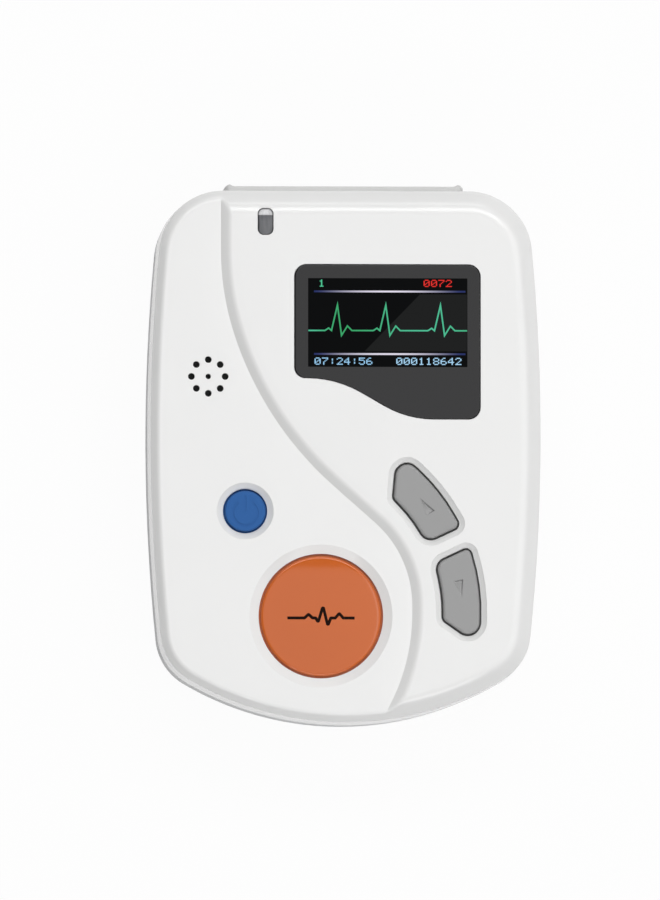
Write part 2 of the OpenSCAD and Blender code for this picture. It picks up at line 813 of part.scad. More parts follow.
module main_board() {
    color([0.10, 0.36, 0.22]) difference() {
        prism(outline(wall + board_gap), board_z, board_top);
        for (c = case_spots) disc(c, case_boss_r + 0.6, board_z - eps, board_top + eps);
        for (c = board_spots) disc(c, board_screw_r + gap, board_z - eps, board_top + eps);
    }
}

module display_panel() {
    color([0.05, 0.05, 0.06]) box_on([panel_low, panel_high], panel_z, panel_z + panel_t);
}

module display_frame() {
    inside = [panel_low - fit_gap * [1, 1], panel_high + fit_gap * [1, 1]];
    rim = panel_rim * [1, 1];
    seat = panel_seat * [1, 1];
    slot = ribbon_half + 1;
    color([0.8, 0.8, 0.78]) difference() {
        box_on([inside[0] - rim, inside[1] + rim], board_top, panel_z + panel_t - fit_gap);
        box_on(inside, panel_z, panel_z + panel_t);
        box_on([inside[0] + seat, inside[1] - seat], board_top - eps, panel_z + eps);
        block([screen_c.x - slot, inside[0].y - panel_rim - eps, board_top - eps],
            [screen_c.x + slot, inside[0].y + panel_seat + eps, ribbon_z + gap]);
    }
}

// A folded flexible strip from the display's underside to the main board
module display_ribbon() {
    tail = 4;
    fold_y = panel_low.y + 1;
    join_y = fold_y + 3;
    span = [screen_c.x - ribbon_half, screen_c.x + ribbon_half];
    color([0.75, 0.5, 0.2]) union() {
        block([span[0], panel_low.y - tail, board_top], [span[1], fold_y, board_top + ribbon_t]);
        block([span[0], fold_y - ribbon_t, board_top], [span[1], fold_y, ribbon_z]);
        block([span[0], fold_y - ribbon_t, ribbon_z - ribbon_t], [span[1], join_y, ribbon_z]);
        block([span[0], join_y - ribbon_t, ribbon_z - ribbon_t], [span[1], join_y, panel_z - seat_gap]);
    }
}

module status_led() {
    color([0.9, 0.9, 0.85]) box_on([status_c - led_half, status_c + led_half], board_top, board_top + led_h);
}

module processor_chip() {
    color([0.08, 0.08, 0.09]) box_on(processor_box, board_z - chip_h, board_z);
}

module memory_chip() {
    color([0.10, 0.10, 0.11]) box_on(memory_box, board_z - chip_h, board_z);
}

module backup_cell() {
    color([0.75, 0.75, 0.77]) disc(backup_c, backup_r, board_top, board_top + backup_h);
}

module board_connector() {
    color([0.9, 0.88, 0.8]) box_on(connector_box, front_end_z + front_end_t, board_z);
}

module front_end_board() {
    color([0.12, 0.32, 0.5]) difference() {
        block([-front_end_half, front_end_low_y, front_end_z],
            [front_end_half, front_end_high_y, front_end_z + front_end_t]);
        for (c = front_end_spots)
            disc(c, front_end_pin_r + fit_gap, front_end_z - eps, front_end_z + front_end_t + eps);
    }
}

module shield_can() {
    sheet = 0.25;
    inset = sheet * [1, 1];
    base = front_end_z + front_end_t;
    color([0.75, 0.76, 0.78]) difference() {
        box_on(shield_box, base, base + shield_h);
        box_on([shield_box[0] + inset, shield_box[1] - inset], base - eps, base + shield_h - sheet);
    }
}

// A cell along Y with its nub towards dir
module cell(x, dir) {
    nub_l = 1;
    nub_r = cell_fit_d * 0.19;
    low = well_low_y + plate_t + (dir > 0 ? spring_l : fit_gap);
    high = low + cell_l;
    body = dir > 0 ? [low, high - nub_l] : [low + nub_l, high];
    nub = dir > 0 ? [high - nub_l - eps, high] : [low, low + nub_l + eps];
    translate([x, 0, cell_z]) rotate([-90, 0, 0]) {
        translate([0, 0, body[0]]) cylinder(r = cell_fit_d / 2, h = body[1] - body[0]);
        translate([0, 0, nub[0]]) cylinder(r = nub_r, h = nub[1] - nub[0]);
    }
}

module aa_cell_1() { color([0.55, 0.56, 0.58]) cell(-cell_x, 1); }
module aa_cell_2() { color([0.55, 0.56, 0.58]) cell(cell_x, -1); }

// A conical wire coil along Y, wide at its plate
module spring(x, plate_y, dir) {
    wire = 0.3;
    turns = 2.5;
    steps = 35;
    wide_r = cell_fit_d * 0.345;
    taper = 2;
    rise = spring_l - 2 * wire;
    skin([for (i = [0:steps]) let (
            t = i / steps, a = 360 * t * turns, r = wide_r - taper * t, y = plate_y + dir * (wire + rise * t))
        [for (k = [0:5]) let (b = 60 * k, reach = r + wire * cos(b))
            [x + reach * cos(a), y + wire * sin(b), cell_z + reach * sin(a)]]]);
}

module battery_springs() {
    color([0.8, 0.8, 0.82]) {
        spring(-cell_x, well_low_y + plate_t, 1);
        spring(cell_x, well_high_y - plate_t, -1);
    }
}

module battery_plates() {
    low = cell_z - plate_half[1];
    high = cell_z + plate_half[1];
    side = cell_x + plate_half[0];
    color([0.82, 0.78, 0.62]) {
        block([-side, well_low_y, low], [side, well_low_y + plate_t, high]);
        for (x = [-cell_x, cell_x])
            block([x - plate_half[0], well_high_y - plate_t, low], [x + plate_half[0], well_high_y, high]);
    }
}

// A pan-head screw pointing up, its head under seat_z
module screw(c, r, head_r, head_h, seat_z, tip_z) {
    difference() {
        union() {
            disc(c, head_r, seat_z - head_h, seat_z);
            disc(c, r, seat_z - eps, tip_z);
        }
        translate([c.x, c.y, seat_z - head_h - eps])
            cylinder(r = head_r / 2, h = head_h * 0.6 + eps, $fn = 6);
    }
}

module case_screws() {
    color([0.6, 0.6, 0.62]) for (c = case_spots)
        screw(c, case_screw_r, case_head_r, case_head_h, case_seat_z, front_base_z + case_bite - 0.5);
}

module board_screws() {
    color([0.6, 0.6, 0.62]) for (c = board_spots)
        screw(c, board_screw_r, board_head_r, board_head_h, board_z, board_top + board_bite - 0.4);
}

front_cover();
rear_cover();
case_gasket();
end_panel();
patient_cable_socket();
socket_contacts();
display_window();
status_window();
speaker_mesh();
speaker_seal();
speaker();
mark_button();
power_button();
up_key();
down_key();
mark_plunger();
power_plunger();
up_plunger();
down_plunger();
mark_switch();
power_switch();
up_switch();
down_switch();
main_board();
display_panel();
display_frame();
display_ribbon();
status_led();
processor_chip();
memory_chip();
backup_cell();
board_connector();
front_end_board();
shield_can();
battery_door();
aa_cell_1();
aa_cell_2();
battery_springs();
battery_plates();
case_screws();
board_screws();
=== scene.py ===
"""Looks of a pocket heart-rhythm recorder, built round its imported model.

The recorder lies on its back. Sizes in the classes are millimetres, in the model's own
frame: +Z leaves the front face and +Y points to the end with the cable socket.
"""

import sys

import logging
import math
from collections.abc import Callable, Sequence
from dataclasses import dataclass, field
from enum import Enum

import bmesh
import bpy
import numpy as np
from mathutils import Matrix, Vector, geometry

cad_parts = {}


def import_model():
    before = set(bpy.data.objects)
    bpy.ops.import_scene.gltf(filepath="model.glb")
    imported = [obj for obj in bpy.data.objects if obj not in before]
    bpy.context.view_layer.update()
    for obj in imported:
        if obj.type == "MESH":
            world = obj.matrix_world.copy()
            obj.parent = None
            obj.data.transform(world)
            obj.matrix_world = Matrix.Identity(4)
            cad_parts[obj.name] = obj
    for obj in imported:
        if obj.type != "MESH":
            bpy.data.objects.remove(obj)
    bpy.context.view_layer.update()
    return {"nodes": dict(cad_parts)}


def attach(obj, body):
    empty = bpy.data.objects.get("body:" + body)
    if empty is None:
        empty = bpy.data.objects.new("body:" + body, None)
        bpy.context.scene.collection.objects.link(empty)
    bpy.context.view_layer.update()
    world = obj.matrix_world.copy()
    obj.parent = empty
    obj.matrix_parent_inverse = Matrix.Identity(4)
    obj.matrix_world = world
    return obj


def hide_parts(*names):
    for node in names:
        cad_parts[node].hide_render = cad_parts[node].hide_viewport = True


MM = 0.001
WELD = 5e-7
TINY = 1e-12
HALVINGS = 16

Points = np.ndarray
Height = Callable[[Points], np.ndarray]
Pair = tuple[float, float]
Triple = tuple[float, float, float]
Corner = Triple
Colour = Triple
Box = tuple[Triple, Triple]

log = logging.getLogger("recorder")


# Plan curves


def arc(centre: Sequence[float], radius: float, start: float, end: float, steps: int) -> Points:
    """Samples a circular arc: centre plus radius times the cosine and sine of even angles.

    Args:
        centre: The circle's centre.
        radius: Its radius.
        start: First angle in degrees.
        end: Last angle in degrees.
        steps: Number of equal steps.

    Returns:
        steps + 1 points, one row each.
    """
    turn = np.radians(np.linspace(start, end, steps + 1))
    return np.asarray(centre, float) + radius * np.column_stack((np.cos(turn), np.sin(turn)))


def circle(centre: Sequence[float], radius: float, steps: int) -> Points:
    """Samples a full circle, counter-clockwise, without repeating its first point."""
    return arc(centre, radius, 0, 360, steps)[:-1]


def bearing(start: Points, end: Points) -> float:
    """Direction from one point to another, in degrees."""
    return math.degrees(math.atan2(end[1] - start[1], end[0] - start[0]))


def unit(vectors: Points) -> Points:
    """Scales each row to length 1."""
    return vectors / np.maximum(np.linalg.norm(vectors, axis=-1, keepdims=True), TINY)


def rounded(corners: Sequence[Corner], closed: bool = True, turn: float = 5.0) -> Points:
    """Joins straight lines by tangent arcs at their corners.

    The arc's centre lies on the corner's bisector, at the radius divided by the sine of
    half the corner's angle.

    Args:
        corners: x, y and radius of each corner, in order.
        closed: Whether the last corner joins the first.
        turn: Largest angle between neighbouring points of an arc, in degrees.

    Returns:
        The outline's points.
    """
    spots = np.array([c[:2] for c in corners], float)
    parts: list[Points] = []
    for i, (x, y, radius) in enumerate(corners):
        here = np.array((x, y), float)
        if radius == 0 or (not closed and i in (0, len(corners) - 1)):
            parts.append(here[None])
            continue
        u = unit(spots[i - 1] - here)
        v = unit(spots[(i + 1) % len(corners)] - here)
        half = math.acos(float(u @ v)) / 2
        centre = here + unit(u + v) * radius / math.sin(half)
        start = bearing(centre, here + u * radius / math.tan(half))
        sweep = (bearing(centre, here + v * radius / math.tan(half)) - start + 540) % 360 - 180
        parts.append(arc(centre, radius, start, start + sweep, max(2, math.ceil(abs(sweep) / turn))))
    return np.vstack(parts)


def rectangle(x0: float, y0: float, x1: float, y1: float) -> Points:
    """Corners of a rectangle, counter-clockwise from its lower left."""
    return np.array([(x0, y0), (x1, y0), (x1, y1), (x0, y1)], float)


def rounded_box(
    low: Pair, high: Pair, radius: float, foot_radius: float | None = None, turn: float = 5.0
) -> Points:
    """Outline of a rectangle with round corners, from its upper left down.

    Args:
        low: Its lower left corner.
        high: Its upper right corner.
        radius: Radius of the corners.
        foot_radius: Radius of the two lower corners, where it differs.
        turn: Largest angle between neighbouring points of an arc, in degrees.

    Returns:
        The outline's points, counter-clockwise.
    """
    (x0, y0), (x1, y1) = low, high
    foot = radius if foot_radius is None else foot_radius
    return rounded([(x0, y1, radius), (x0, y0, foot), (x1, y0, foot), (x1, y1, radius)], turn=turn)


def evened(path: Points, step: float, closed: bool = True) -> Points:
    """Adds points on a path's long edges, so that no edge is much longer than a step."""
    ends = np.roll(path, -1, 0) if closed else path[1:]
    starts = path if closed else path[:-1]
    parts: list[Points] = []
    for start, end, gap in zip(starts, ends, np.linalg.norm(ends - starts, axis=1)):
        shares = np.linspace(0, 1, max(1, math.ceil(gap / step)), endpoint=False)
        parts.append(start + (end - start) * shares[:, None])
    return np.vstack(parts if closed else [*parts, path[-1:]])


def shifted(path: Points, distance: float, closed: bool = True) -> Points:
    """Moves a path sideways, outwards for a counter-clockwise loop.

    Each point moves along the sum of its two edge normals, divided by one plus their dot
    product, which keeps every edge parallel to where it was.

    Args:
        path: The path's points.
        distance: How far it moves.
        closed: Whether its last point joins the first.

    Returns:
        The moved points.
    """
    edges = np.roll(path, -1, 0) - path if closed else np.diff(path, axis=0)
    normals = unit(np.column_stack((edges[:, 1], -edges[:, 0])))
    if closed:
        before, after = np.roll(normals, 1, 0), normals
    else:
        before, after = np.vstack((normals[:1], normals)), np.vstack((normals, normals[-1:]))
    return path + distance * (before + after) / (1 + np.sum(before * after, axis=1))[:, None]


def inside(points: Points, loop: Points) -> np.ndarray:
    """Tells which points lie in a loop: those whose ray to +X crosses it an odd number of times."""
    x, y = points[:, :1], points[:, 1:]
    a, b = loop, np.roll(loop, -1, 0)
    straddles = (a[:, 1] > y) != (b[:, 1] > y)
    rise = np.where(b[:, 1] == a[:, 1], TINY, b[:, 1] - a[:, 1])
    crossing = a[:, 0] + (y - a[:, 1]) * (b[:, 0] - a[:, 0]) / rise
    return (np.sum(straddles & (x < crossing), axis=1) % 2).astype(bool)


def distance(points: Points, path: Points, closed: bool = True) -> np.ndarray:
    """Distance from each point to a path: the least over the path's edges."""
    starts = path if closed else path[:-1]
    edges = (np.roll(path, -1, 0) if closed else path[1:]) - starts
    offset = points[:, None] - starts
    squares = np.maximum(np.sum(edges**2, axis=1), TINY)
    along = np.clip(np.sum(offset * edges, axis=2) / squares, 0, 1)
    return np.min(np.linalg.norm(offset - along[..., None] * edges, axis=2), axis=1)


def kept_in(path: Points, loop: Points) -> Points:
    """Pulls the points of a closed path that lie outside a loop towards the path's middle.

    The share of the way from the middle that a point keeps is found by halving its range
    again and again, so that the point ends just inside the loop.

    Args:
        path: The closed path.
        loop: The loop that it may not leave.

    Returns:
        The path's points, of which those inside the loop are unchanged.
    """
    middle = path.mean(axis=0)
    low, high = np.zeros(len(path)), np.ones(len(path))
    for _ in range(HALVINGS):
        share = (low + high) / 2
        good = inside(middle + (path - middle) * share[:, None], loop)
        low, high = np.where(good, share, low), np.where(good, high, share)
    return middle + (path - middle) * np.where(inside(path, loop), 1, low)[:, None]


def level_of(height: Height | float, points: Points) -> np.ndarray | float:
    """The height over plan points, which may be a number or a function of them."""
    return height(points) if callable(height) else height


def at_height(points: Points, height: float | np.ndarray) -> Points:
    """Adds a third column to plan points."""
    return np.column_stack((points, np.broadcast_to(height, len(points))))


def edge_rings(loop: Points, radius: float, top: Height | float, steps: int) -> list[Points]:
    """Rings of a quarter-round edge under a top surface.

    At each angle the loop moves in by the radius times one minus the cosine, and lies
    under the top by the radius times one minus the sine.

    Args:
        loop: The outline of the upright wall below.
        radius: The edge's radius.
        top: Height of the surface that the edge runs into.
        steps: Number of rings.

    Returns:
        The rings from the lowest to the highest.
    """
    rings: list[Points] = []
    for turn in np.linspace(0, math.pi / 2, steps):
        inner = shifted(loop, -radius * (1 - math.cos(turn)))
        rings.append(at_height(inner, level_of(top, inner) - radius * (1 - math.sin(turn))))
    return rings


def soft_min(a: np.ndarray, b: np.ndarray | float, blend: float) -> np.ndarray:
    """Takes the lower of two heights, rounding the crease over a difference of blend."""
    overlap = np.maximum(blend - np.abs(a - b), 0) / blend
    return np.minimum(a, b) - overlap**2 * blend / 4


# Mesh building


class Skin:
    """Parts of one surface in millimetres, welded where their points meet."""

    def __init__(self) -> None:
        """Starts with no parts."""
        self._points: list[Points] = []
        self._faces: list[list[int]] = []
        self._count = 0

    def add(
        self, points: Points, faces: np.ndarray | Sequence[Sequence[int]], flip: bool = False
    ) -> "Skin":
        """Adds a part.

        Args:
            points: Its vertices, three columns.
            faces: Vertex numbers of each face, counter-clockwise seen from outside.
            flip: Whether the faces are turned over.

        Returns:
            This skin.
        """
        rows = np.asarray(faces)[:, ::-1] if flip else np.asarray(faces)
        self._faces.extend((rows + self._count).tolist())
        self._points.append(points)
        self._count += len(points)
        return self

    def loft(self, rings: Points, caps: bool = False, flip: bool = False) -> "Skin":
        """Adds the surface through closed rings of equal length, as a grid of rings by places.

        Args:
            rings: Array of rings, places and three coordinates.
            caps: Whether the first and the last ring are filled.
            flip: Whether the faces are turned over.

        Returns:
            This skin.
        """
        rings = np.asarray(rings, float)
        count, length = rings.shape[:2]
        ring, place = np.meshgrid(np.arange(count - 1) * length, np.arange(length), indexing="ij")
        after, above = (place + 1) % length, ring + length
        quads = np.stack((ring + place, ring + after, above + after, above + place), -1).reshape(-1, 4)
        self.add(rings.reshape(-1, 3), quads, flip)
        if caps:
            self.add(rings[0], [list(range(length))], not flip)
            self.add(rings[-1], [list(range(length))], flip)
        return self

    def block(self, low: Sequence[float], high: Sequence[float]) -> "Skin":
        """Adds a box between two corners."""
        plan = rectangle(*low[:2], *high[:2])
        return self.loft([at_height(plan, low[2]), at_height(plan, high[2])], caps=True)

    def laid(self) -> "Skin":
        """Turns a piece built with its front up so that the front looks along +Y and its plan's y is Z."""
        self._points = [np.column_stack((-part[:, 0], part[:, 2], part[:, 1])) for part in self._points]
        return self

    def mesh(self, name: str) -> bpy.types.Mesh:
        """Welds the parts into a mesh in metres.

        Args:
            name: The mesh's name.

        Returns:
            The mesh, smooth, with no double points and no empty faces.
        """
        mesh = bpy.data.meshes.new(name)
        mesh.from_pydata(np.vstack(self._points) * MM, [], self._faces)
        shape = bmesh.new()
        shape.from_mesh(mesh)
        bmesh.ops.remove_doubles(shape, verts=shape.verts, dist=WELD)
        bmesh.ops.dissolve_degenerate(shape, edges=shape.edges, dist=WELD)
        shape.to_mesh(mesh)
        shape.free()
        mesh.polygons.foreach_set("use_smooth", np.ones(len(mesh.polygons), bool))
        return mesh


@dataclass(frozen=True)
class Terrace:
    """A part of a relief's plan with a height of its own, or a hole where height is None."""

    loop: Points
    height: Height | float | None


def sides_of(faces: np.ndarray) -> np.ndarray:
    """Directed sides of triangles: every first side, then every second and every third one."""
    return np.concatenate([faces[:, (k, (k + 1) % 3)] for k in range(3)])


class Relief:
    """A surface whose height is a function of x and y, stepping at its terraces' outlines.

    The plan is triangulated so that every outline and line becomes a row of edges. Each
    terrace gets its own copy of the points on its border, at its own height, and upright
    walls join the copies.
    """

    near: float = 1e-6
    border_width: float = 1e-3

    def __init__(
        self,
        outline: Points,
        ground: Height | float,
        terraces: Sequence[Terrace] = (),
        lines: Sequence[Points] = (),
        loops: Sequence[Points] = (),
    ) -> None:
        """Triangulates the plan.

        Args:
            outline: Its counter-clockwise border.
            ground: Height outside the terraces.
            terraces: Later ones lie over earlier ones.
            lines: Open paths that the triangles follow.
            loops: Closed paths that the triangles follow.
        """
        rows: list[Points] = []
        edges: list[np.ndarray] = []
        count = 0
        closed = [outline, *(t.loop for t in terraces), *loops]
        for path, wraps in [(p, True) for p in closed] + [(p, False) for p in lines]:
            first = np.arange(len(path) if wraps else len(path) - 1)
            edges.append(count + np.column_stack((first, (first + 1) % len(path))))
            rows.append(path)
            count += len(path)
        plan, _, triangles, *_ = geometry.delaunay_2d_cdt(
            np.vstack(rows).tolist(), np.vstack(edges).tolist(), [], 0, self.near, False
        )
        self.plan = np.array(plan, float)
        faces = np.array(triangles)
        centres = self.plan[faces].mean(axis=1)
        zone = np.where(inside(centres, outline), 0, -1)
        for number, terrace in enumerate(terraces, 1):
            zone[(zone >= 0) & inside(centres, terrace.loop)] = number if terrace.height is not None else -1
        kept = zone >= 0
        self.faces, self.zone = faces[kept], zone[kept]
        self.outline = outline
        self.heights = [ground, *(t.height for t in terraces)]

    def _numbered(self) -> tuple[np.ndarray, Points]:
        """Gives each pair of a point and a zone a number.

        Returns:
            The faces in those numbers, and the points with their heights.
        """
        span = len(self.heights)
        keys = self.faces * span + self.zone[:, None]
        used, numbers = np.unique(keys, return_inverse=True)
        spots, zones = self.plan[used // span], used % span
        z = np.zeros(len(used))
        for number, height in enumerate(self.heights):
            chosen = zones == number
            if height is not None and chosen.any():
                z[chosen] = level_of(height, spots[chosen])
        return numbers.reshape(self.faces.shape), at_height(spots, z)

    def add_to(self, skin: Skin, flip: bool = False, depth: float | None = None) -> Skin:
        """Adds the relief to a skin.

        Args:
            skin: Where it goes.
            flip: Whether it faces down.
            depth: If given, the holes get upright walls to that height.

        Returns:
            The skin.
        """
        faces, points = self._numbered()
        skin.add(points, faces, flip)
        sides, plan = sides_of(faces), sides_of(self.faces)
        size = len(self.plan)
        forward, backward = plan[:, 0] * size + plan[:, 1], plan[:, 1] * size + plan[:, 0]
        order = np.argsort(forward)
        place = np.clip(np.searchsorted(forward[order], backward), 0, len(order) - 1)
        partner = np.where(forward[order][place] == backward, order[place], -1)
        single = partner < 0
        step = ~single & (sides[:, 0] != sides[partner, 1]) & (plan[:, 0] < plan[:, 1])
        if step.any():
            one, two = sides[step], sides[partner[step]]
            skin.add(points, np.column_stack((one[:, 1], one[:, 0], two[:, 1], two[:, 0])), flip)
        if depth is not None and single.any():
            ends = self.plan[plan[single]]
            inner = distance(ends.mean(axis=1), self.outline) > self.border_width
            rim = sides[single][inner]
            foot = points[rim.ravel()].copy()
            foot[:, 2] = depth
            low = len(points) + np.arange(len(foot)).reshape(-1, 2)
            walls = np.column_stack((rim[:, 1], rim[:, 0], low[:, 0], low[:, 1]))
            skin.add(np.vstack((points, foot)), walls, flip)
        return skin


def revolve(skin: Skin, centre: Pair, profile: Sequence[Pair], steps: int) -> Skin:
    """Turns a profile of radius and height round an upright axis.

    Args:
        skin: Where the surface goes.
        centre: The axis, in plan.
        profile: Radius and height from the lowest inner point outwards and up to the top.
        steps: Places round the axis.

    Returns:
        The skin.
    """
    radius, height = np.asarray(profile, float).T[..., None]
    turn = np.linspace(0, 2 * math.pi, steps, endpoint=False)
    x, y = centre[0] + radius * np.cos(turn), centre[1] + radius * np.sin(turn)
    return skin.loft(np.stack(np.broadcast_arrays(x, y, height), -1))


def ribbon(path: Points, width: float) -> Points:
    """Borders an open path on both sides at half a width, as the outline of a flat stroke."""
    left, right = shifted(path, -width / 2, closed=False), shifted(path, width / 2, closed=False)
    return np.vstack((right, left[::-1]))


# Materials


class Value:
    """A node's output that can be used in arithmetic; each operator adds a Math node."""

    def __init__(self, graph: "Graph", socket: bpy.types.NodeSocket) -> None:
        """Wraps a socket of a graph."""
        self.graph, self.socket = graph, socket

    def _math(self, operation: str, *terms: "Value | float") -> "Value":
        """Adds a Math node."""
        node = self.graph.node("ShaderNodeMath", {"operation": operation}, dict(enumerate(terms)))
        return Value(self.graph, node.outputs[0])

    def __add__(self, other: "Value | float") -> "Value":
        """Sum."""
        return self._math("ADD", self, other)

    __radd__ = __add__

    def __mul__(self, other: "Value | float") -> "Value":
        """Product."""
        return self._math("MULTIPLY", self, other)

    __rmul__ = __mul__

    def __sub__(self, other: "Value | float") -> "Value":
        """Difference."""
        return self._math("SUBTRACT", self, other)

    def __rsub__(self, other: "Value | float") -> "Value":
        """Difference from a number."""
        return self._math("SUBTRACT", other, self)

    def __truediv__(self, other: "Value | float") -> "Value":
        """Quotient."""
        return self._math("DIVIDE", self, other)

    def __pow__(self, other: "Value | float") -> "Value":
        """Power."""
        return self._math("POWER", self, other)

    def over(self, limit: float) -> "Value":
        """1 where the value is over a limit, else 0."""
        return self._math("GREATER_THAN", self, limit)

    def within(self, low: float, high: float) -> "Value":
        """1 between two limits, else 0."""
        return self.over(low) * (1 - self.over(high))

    def ramp(self, low: float, high: float) -> "Value":
        """Rises smoothly from 0 at low to 1 at high."""
        kind = {"interpolation_type": "SMOOTHSTEP"}
        node = self.graph.node("ShaderNodeMapRange", kind, {0: self, 1: low, 2: high})
        return Value(self.graph, node.outputs[0])


class Graph:
    """A material's node tree; finish adds its Principled shader."""

    def __init__(self, name: str) -> None:
        """Makes an empty material."""
        self.material = bpy.data.materials.new(name)
        self.material.use_nodes = True
        self.tree = self.material.node_tree
        self.tree.nodes.clear()
        self.output = self.node("ShaderNodeOutputMaterial")
        self.place = self.node("ShaderNodeTexCoord").outputs["Object"]

    def node(
        self, kind: str, settings: dict[str, object] | None = None, inputs: dict | None = None
    ) -> bpy.types.Node:
        """Adds a node.

        Args:
            kind: Its type.
            settings: Attributes, which are set first.
            inputs: Values or links of its sockets, by name or number.

        Returns:
            The node.
        """
        node = self.tree.nodes.new(kind)
        for key, value in (settings or {}).items():
            setattr(node, key, value)
        for key, value in (inputs or {}).items():
            self.feed(node.inputs[key], value)
        return node

    def feed(self, socket: bpy.types.NodeSocket, value: object) -> None:
        """Links or sets one socket."""
        if isinstance(value, Value):
            value = value.socket
        if isinstance(value, bpy.types.NodeSocket):
            self.tree.links.new(value, socket)
        else:
            socket.default_value = value

    def axis(self, name: str) -> Value:
        """One of the piece's own coordinates, in millimetres."""
        split = self.node("ShaderNodeSeparateXYZ", inputs={0: self.place})
        return Value(self, split.outputs[name]) * (1 / MM)

    def noise(self, size: float, detail: float = 2.0, stretch: Sequence[float] = (1, 1, 1)) -> Value:
        """Noise from 0 to 1 over the piece's own coordinates.

        Args:
            size: Size of its features in millimetres.
            detail: Number of finer layers.
            stretch: How far it is drawn out along each axis.

        Returns:
            The noise.
        """
        scale = [1 / (size * MM * s) for s in stretch]
        spread = self.node("ShaderNodeMapping", inputs={0: self.place, "Scale": scale})
        inputs = {"Vector": spread.outputs[0], "Scale": 1.0, "Detail": detail}
        return Value(self, self.node("ShaderNodeTexNoise", inputs=inputs).outputs["Fac"])

    def mix(self, factor: Value | float, first: object, second: object) -> bpy.types.NodeSocket:
        """Blends two colours."""
        node = self.node("ShaderNodeMix", {"data_type": "RGBA"}, {0: factor, 6: first, 7: second})
        return node.outputs[2]

    def bump(self, height: Value, depth: float) -> bpy.types.NodeSocket:
        """Turns a height from 0 to 1 into a normal, for a depth in millimetres."""
        inputs = {"Strength": 1.0, "Distance": depth * MM, "Height": height}
        return self.node("ShaderNodeBump", inputs=inputs).outputs[0]

    def finish(self, inputs: dict[str, object]) -> bpy.types.Material:
        """Adds the Principled shader with the given sockets and returns the material."""
        shader = self.node("ShaderNodeBsdfPrincipled", inputs=inputs)
        self.feed(self.output.inputs["Surface"], shader.outputs[0])
        return self.material


def shade(colour: Colour, factor: float) -> tuple[float, float, float, float]:
    """A colour made lighter or darker, with alpha 1."""
    return (*(min(1.0, c * factor) for c in colour), 1.0)


def srgb(red: int, green: int, blue: int) -> Colour:
    """Turns screen values from 0 to 255 into linear light."""
    shares = (red / 255, green / 255, blue / 255)
    return tuple(s / 12.92 if s <= 0.04045 else ((s + 0.055) / 1.055) ** 2.4 for s in shares)


@dataclass(frozen=True)
class Finish:
    """A named surface finish, with its colour in linear light."""

    name: str
    colour: Colour

    def material(self) -> bpy.types.Material:
        """The finish's material, made once."""
        return bpy.data.materials.get(self.name) or self.build(Graph(self.name))

    def build(self, graph: Graph) -> bpy.types.Material:
        """Makes the material's nodes."""
        raise NotImplementedError


@dataclass(frozen=True)
class Moulded(Finish):
    """Injection-moulded plastic: a fine spark-eroded grain, a slight mottle and faint handling marks."""

    roughness: float = 0.42
    roughness_span: float = 0.04
    grain: float = 0.16
    grain_depth: float = 0.0012
    mottle: float = 0.012
    sheen: float = 0.5
    coat: float = 0.0
    coat_roughness: float = 0.1

    def build(self, graph: Graph) -> bpy.types.Material:
        """Colour follows a broad noise, roughness a middle one, and the bump two fine ones."""
        broad, middle = graph.noise(14), graph.noise(2.2, 3)
        fine = graph.noise(self.grain, 2) * 0.7 + graph.noise(self.grain * 3.1, 1) * 0.3
        colour = graph.mix(broad, shade(self.colour, 1 - self.mottle), shade(self.colour, 1 + self.mottle))
        return graph.finish({
            "Base Color": colour,
            "Roughness": middle * self.roughness_span + (self.roughness - self.roughness_span / 2),
            "Normal": graph.bump(fine, self.grain_depth),
            "Specular IOR Level": self.sheen,
            "Coat Weight": self.coat,
            "Coat Roughness": self.coat_roughness,
            "IOR": 1.46,
        })


@dataclass(frozen=True)
class Printed(Finish):
    """Back-printed acrylic: an even colour under a glossy face with a faint orange-peel wave."""

    roughness: float = 0.3

    def build(self, graph: Graph) -> bpy.types.Material:
        """Colour follows a broad noise by one part in fifty, and the bump a slow wave."""
        colour = graph.mix(graph.noise(9), shade(self.colour, 0.98), shade(self.colour, 1.02))
        return graph.finish({
            "Base Color": colour,
            "Roughness": graph.noise(4) * 0.05 + self.roughness,
            "Normal": graph.bump(graph.noise(6, 1), 0.002),
            "IOR": 1.49,
        })


@dataclass(frozen=True)
class LightGuide(Finish):
    """Smoked resin that is darker towards its two sides, with painted light where it bends down."""

    # painted light: the lighter colour that the guide takes past its bend
    lit: Colour = (0.5, 0.5, 0.51)
    middle: float = 0.0
    half: float = 1.3
    bend: float = 0.0

    def build(self, graph: Graph) -> bpy.types.Material:
        """Colour falls off with the distance from the middle line, and past the bend turns to the lighter
        colour of painted light.
        """
        across = (graph.axis("X") - self.middle) / self.half
        side = (across * across).ramp(0.1, 1.0)
        streaks = graph.noise(0.5, 2, (1, 6, 1)).ramp(0.3, 0.7) * 0.35
        smoke = graph.mix(side * 0.6 + streaks, shade(self.colour, 1.1), shade(self.colour, 0.45))
        past = graph.axis("Y").ramp(self.bend - 0.1, self.bend + 0.15)
        # painted light past the bend, a little darker towards the sides
        painted_shine = graph.mix(streaks + side * 0.3, (*self.lit, 1), shade(self.colour, 1.0))
        return graph.finish({
            "Base Color": graph.mix(past, smoke, painted_shine),
            "Roughness": graph.noise(4) * 0.05 + 0.16,
            "Normal": graph.bump(graph.noise(0.4, 1), 0.002),
            "IOR": 1.49,
        })


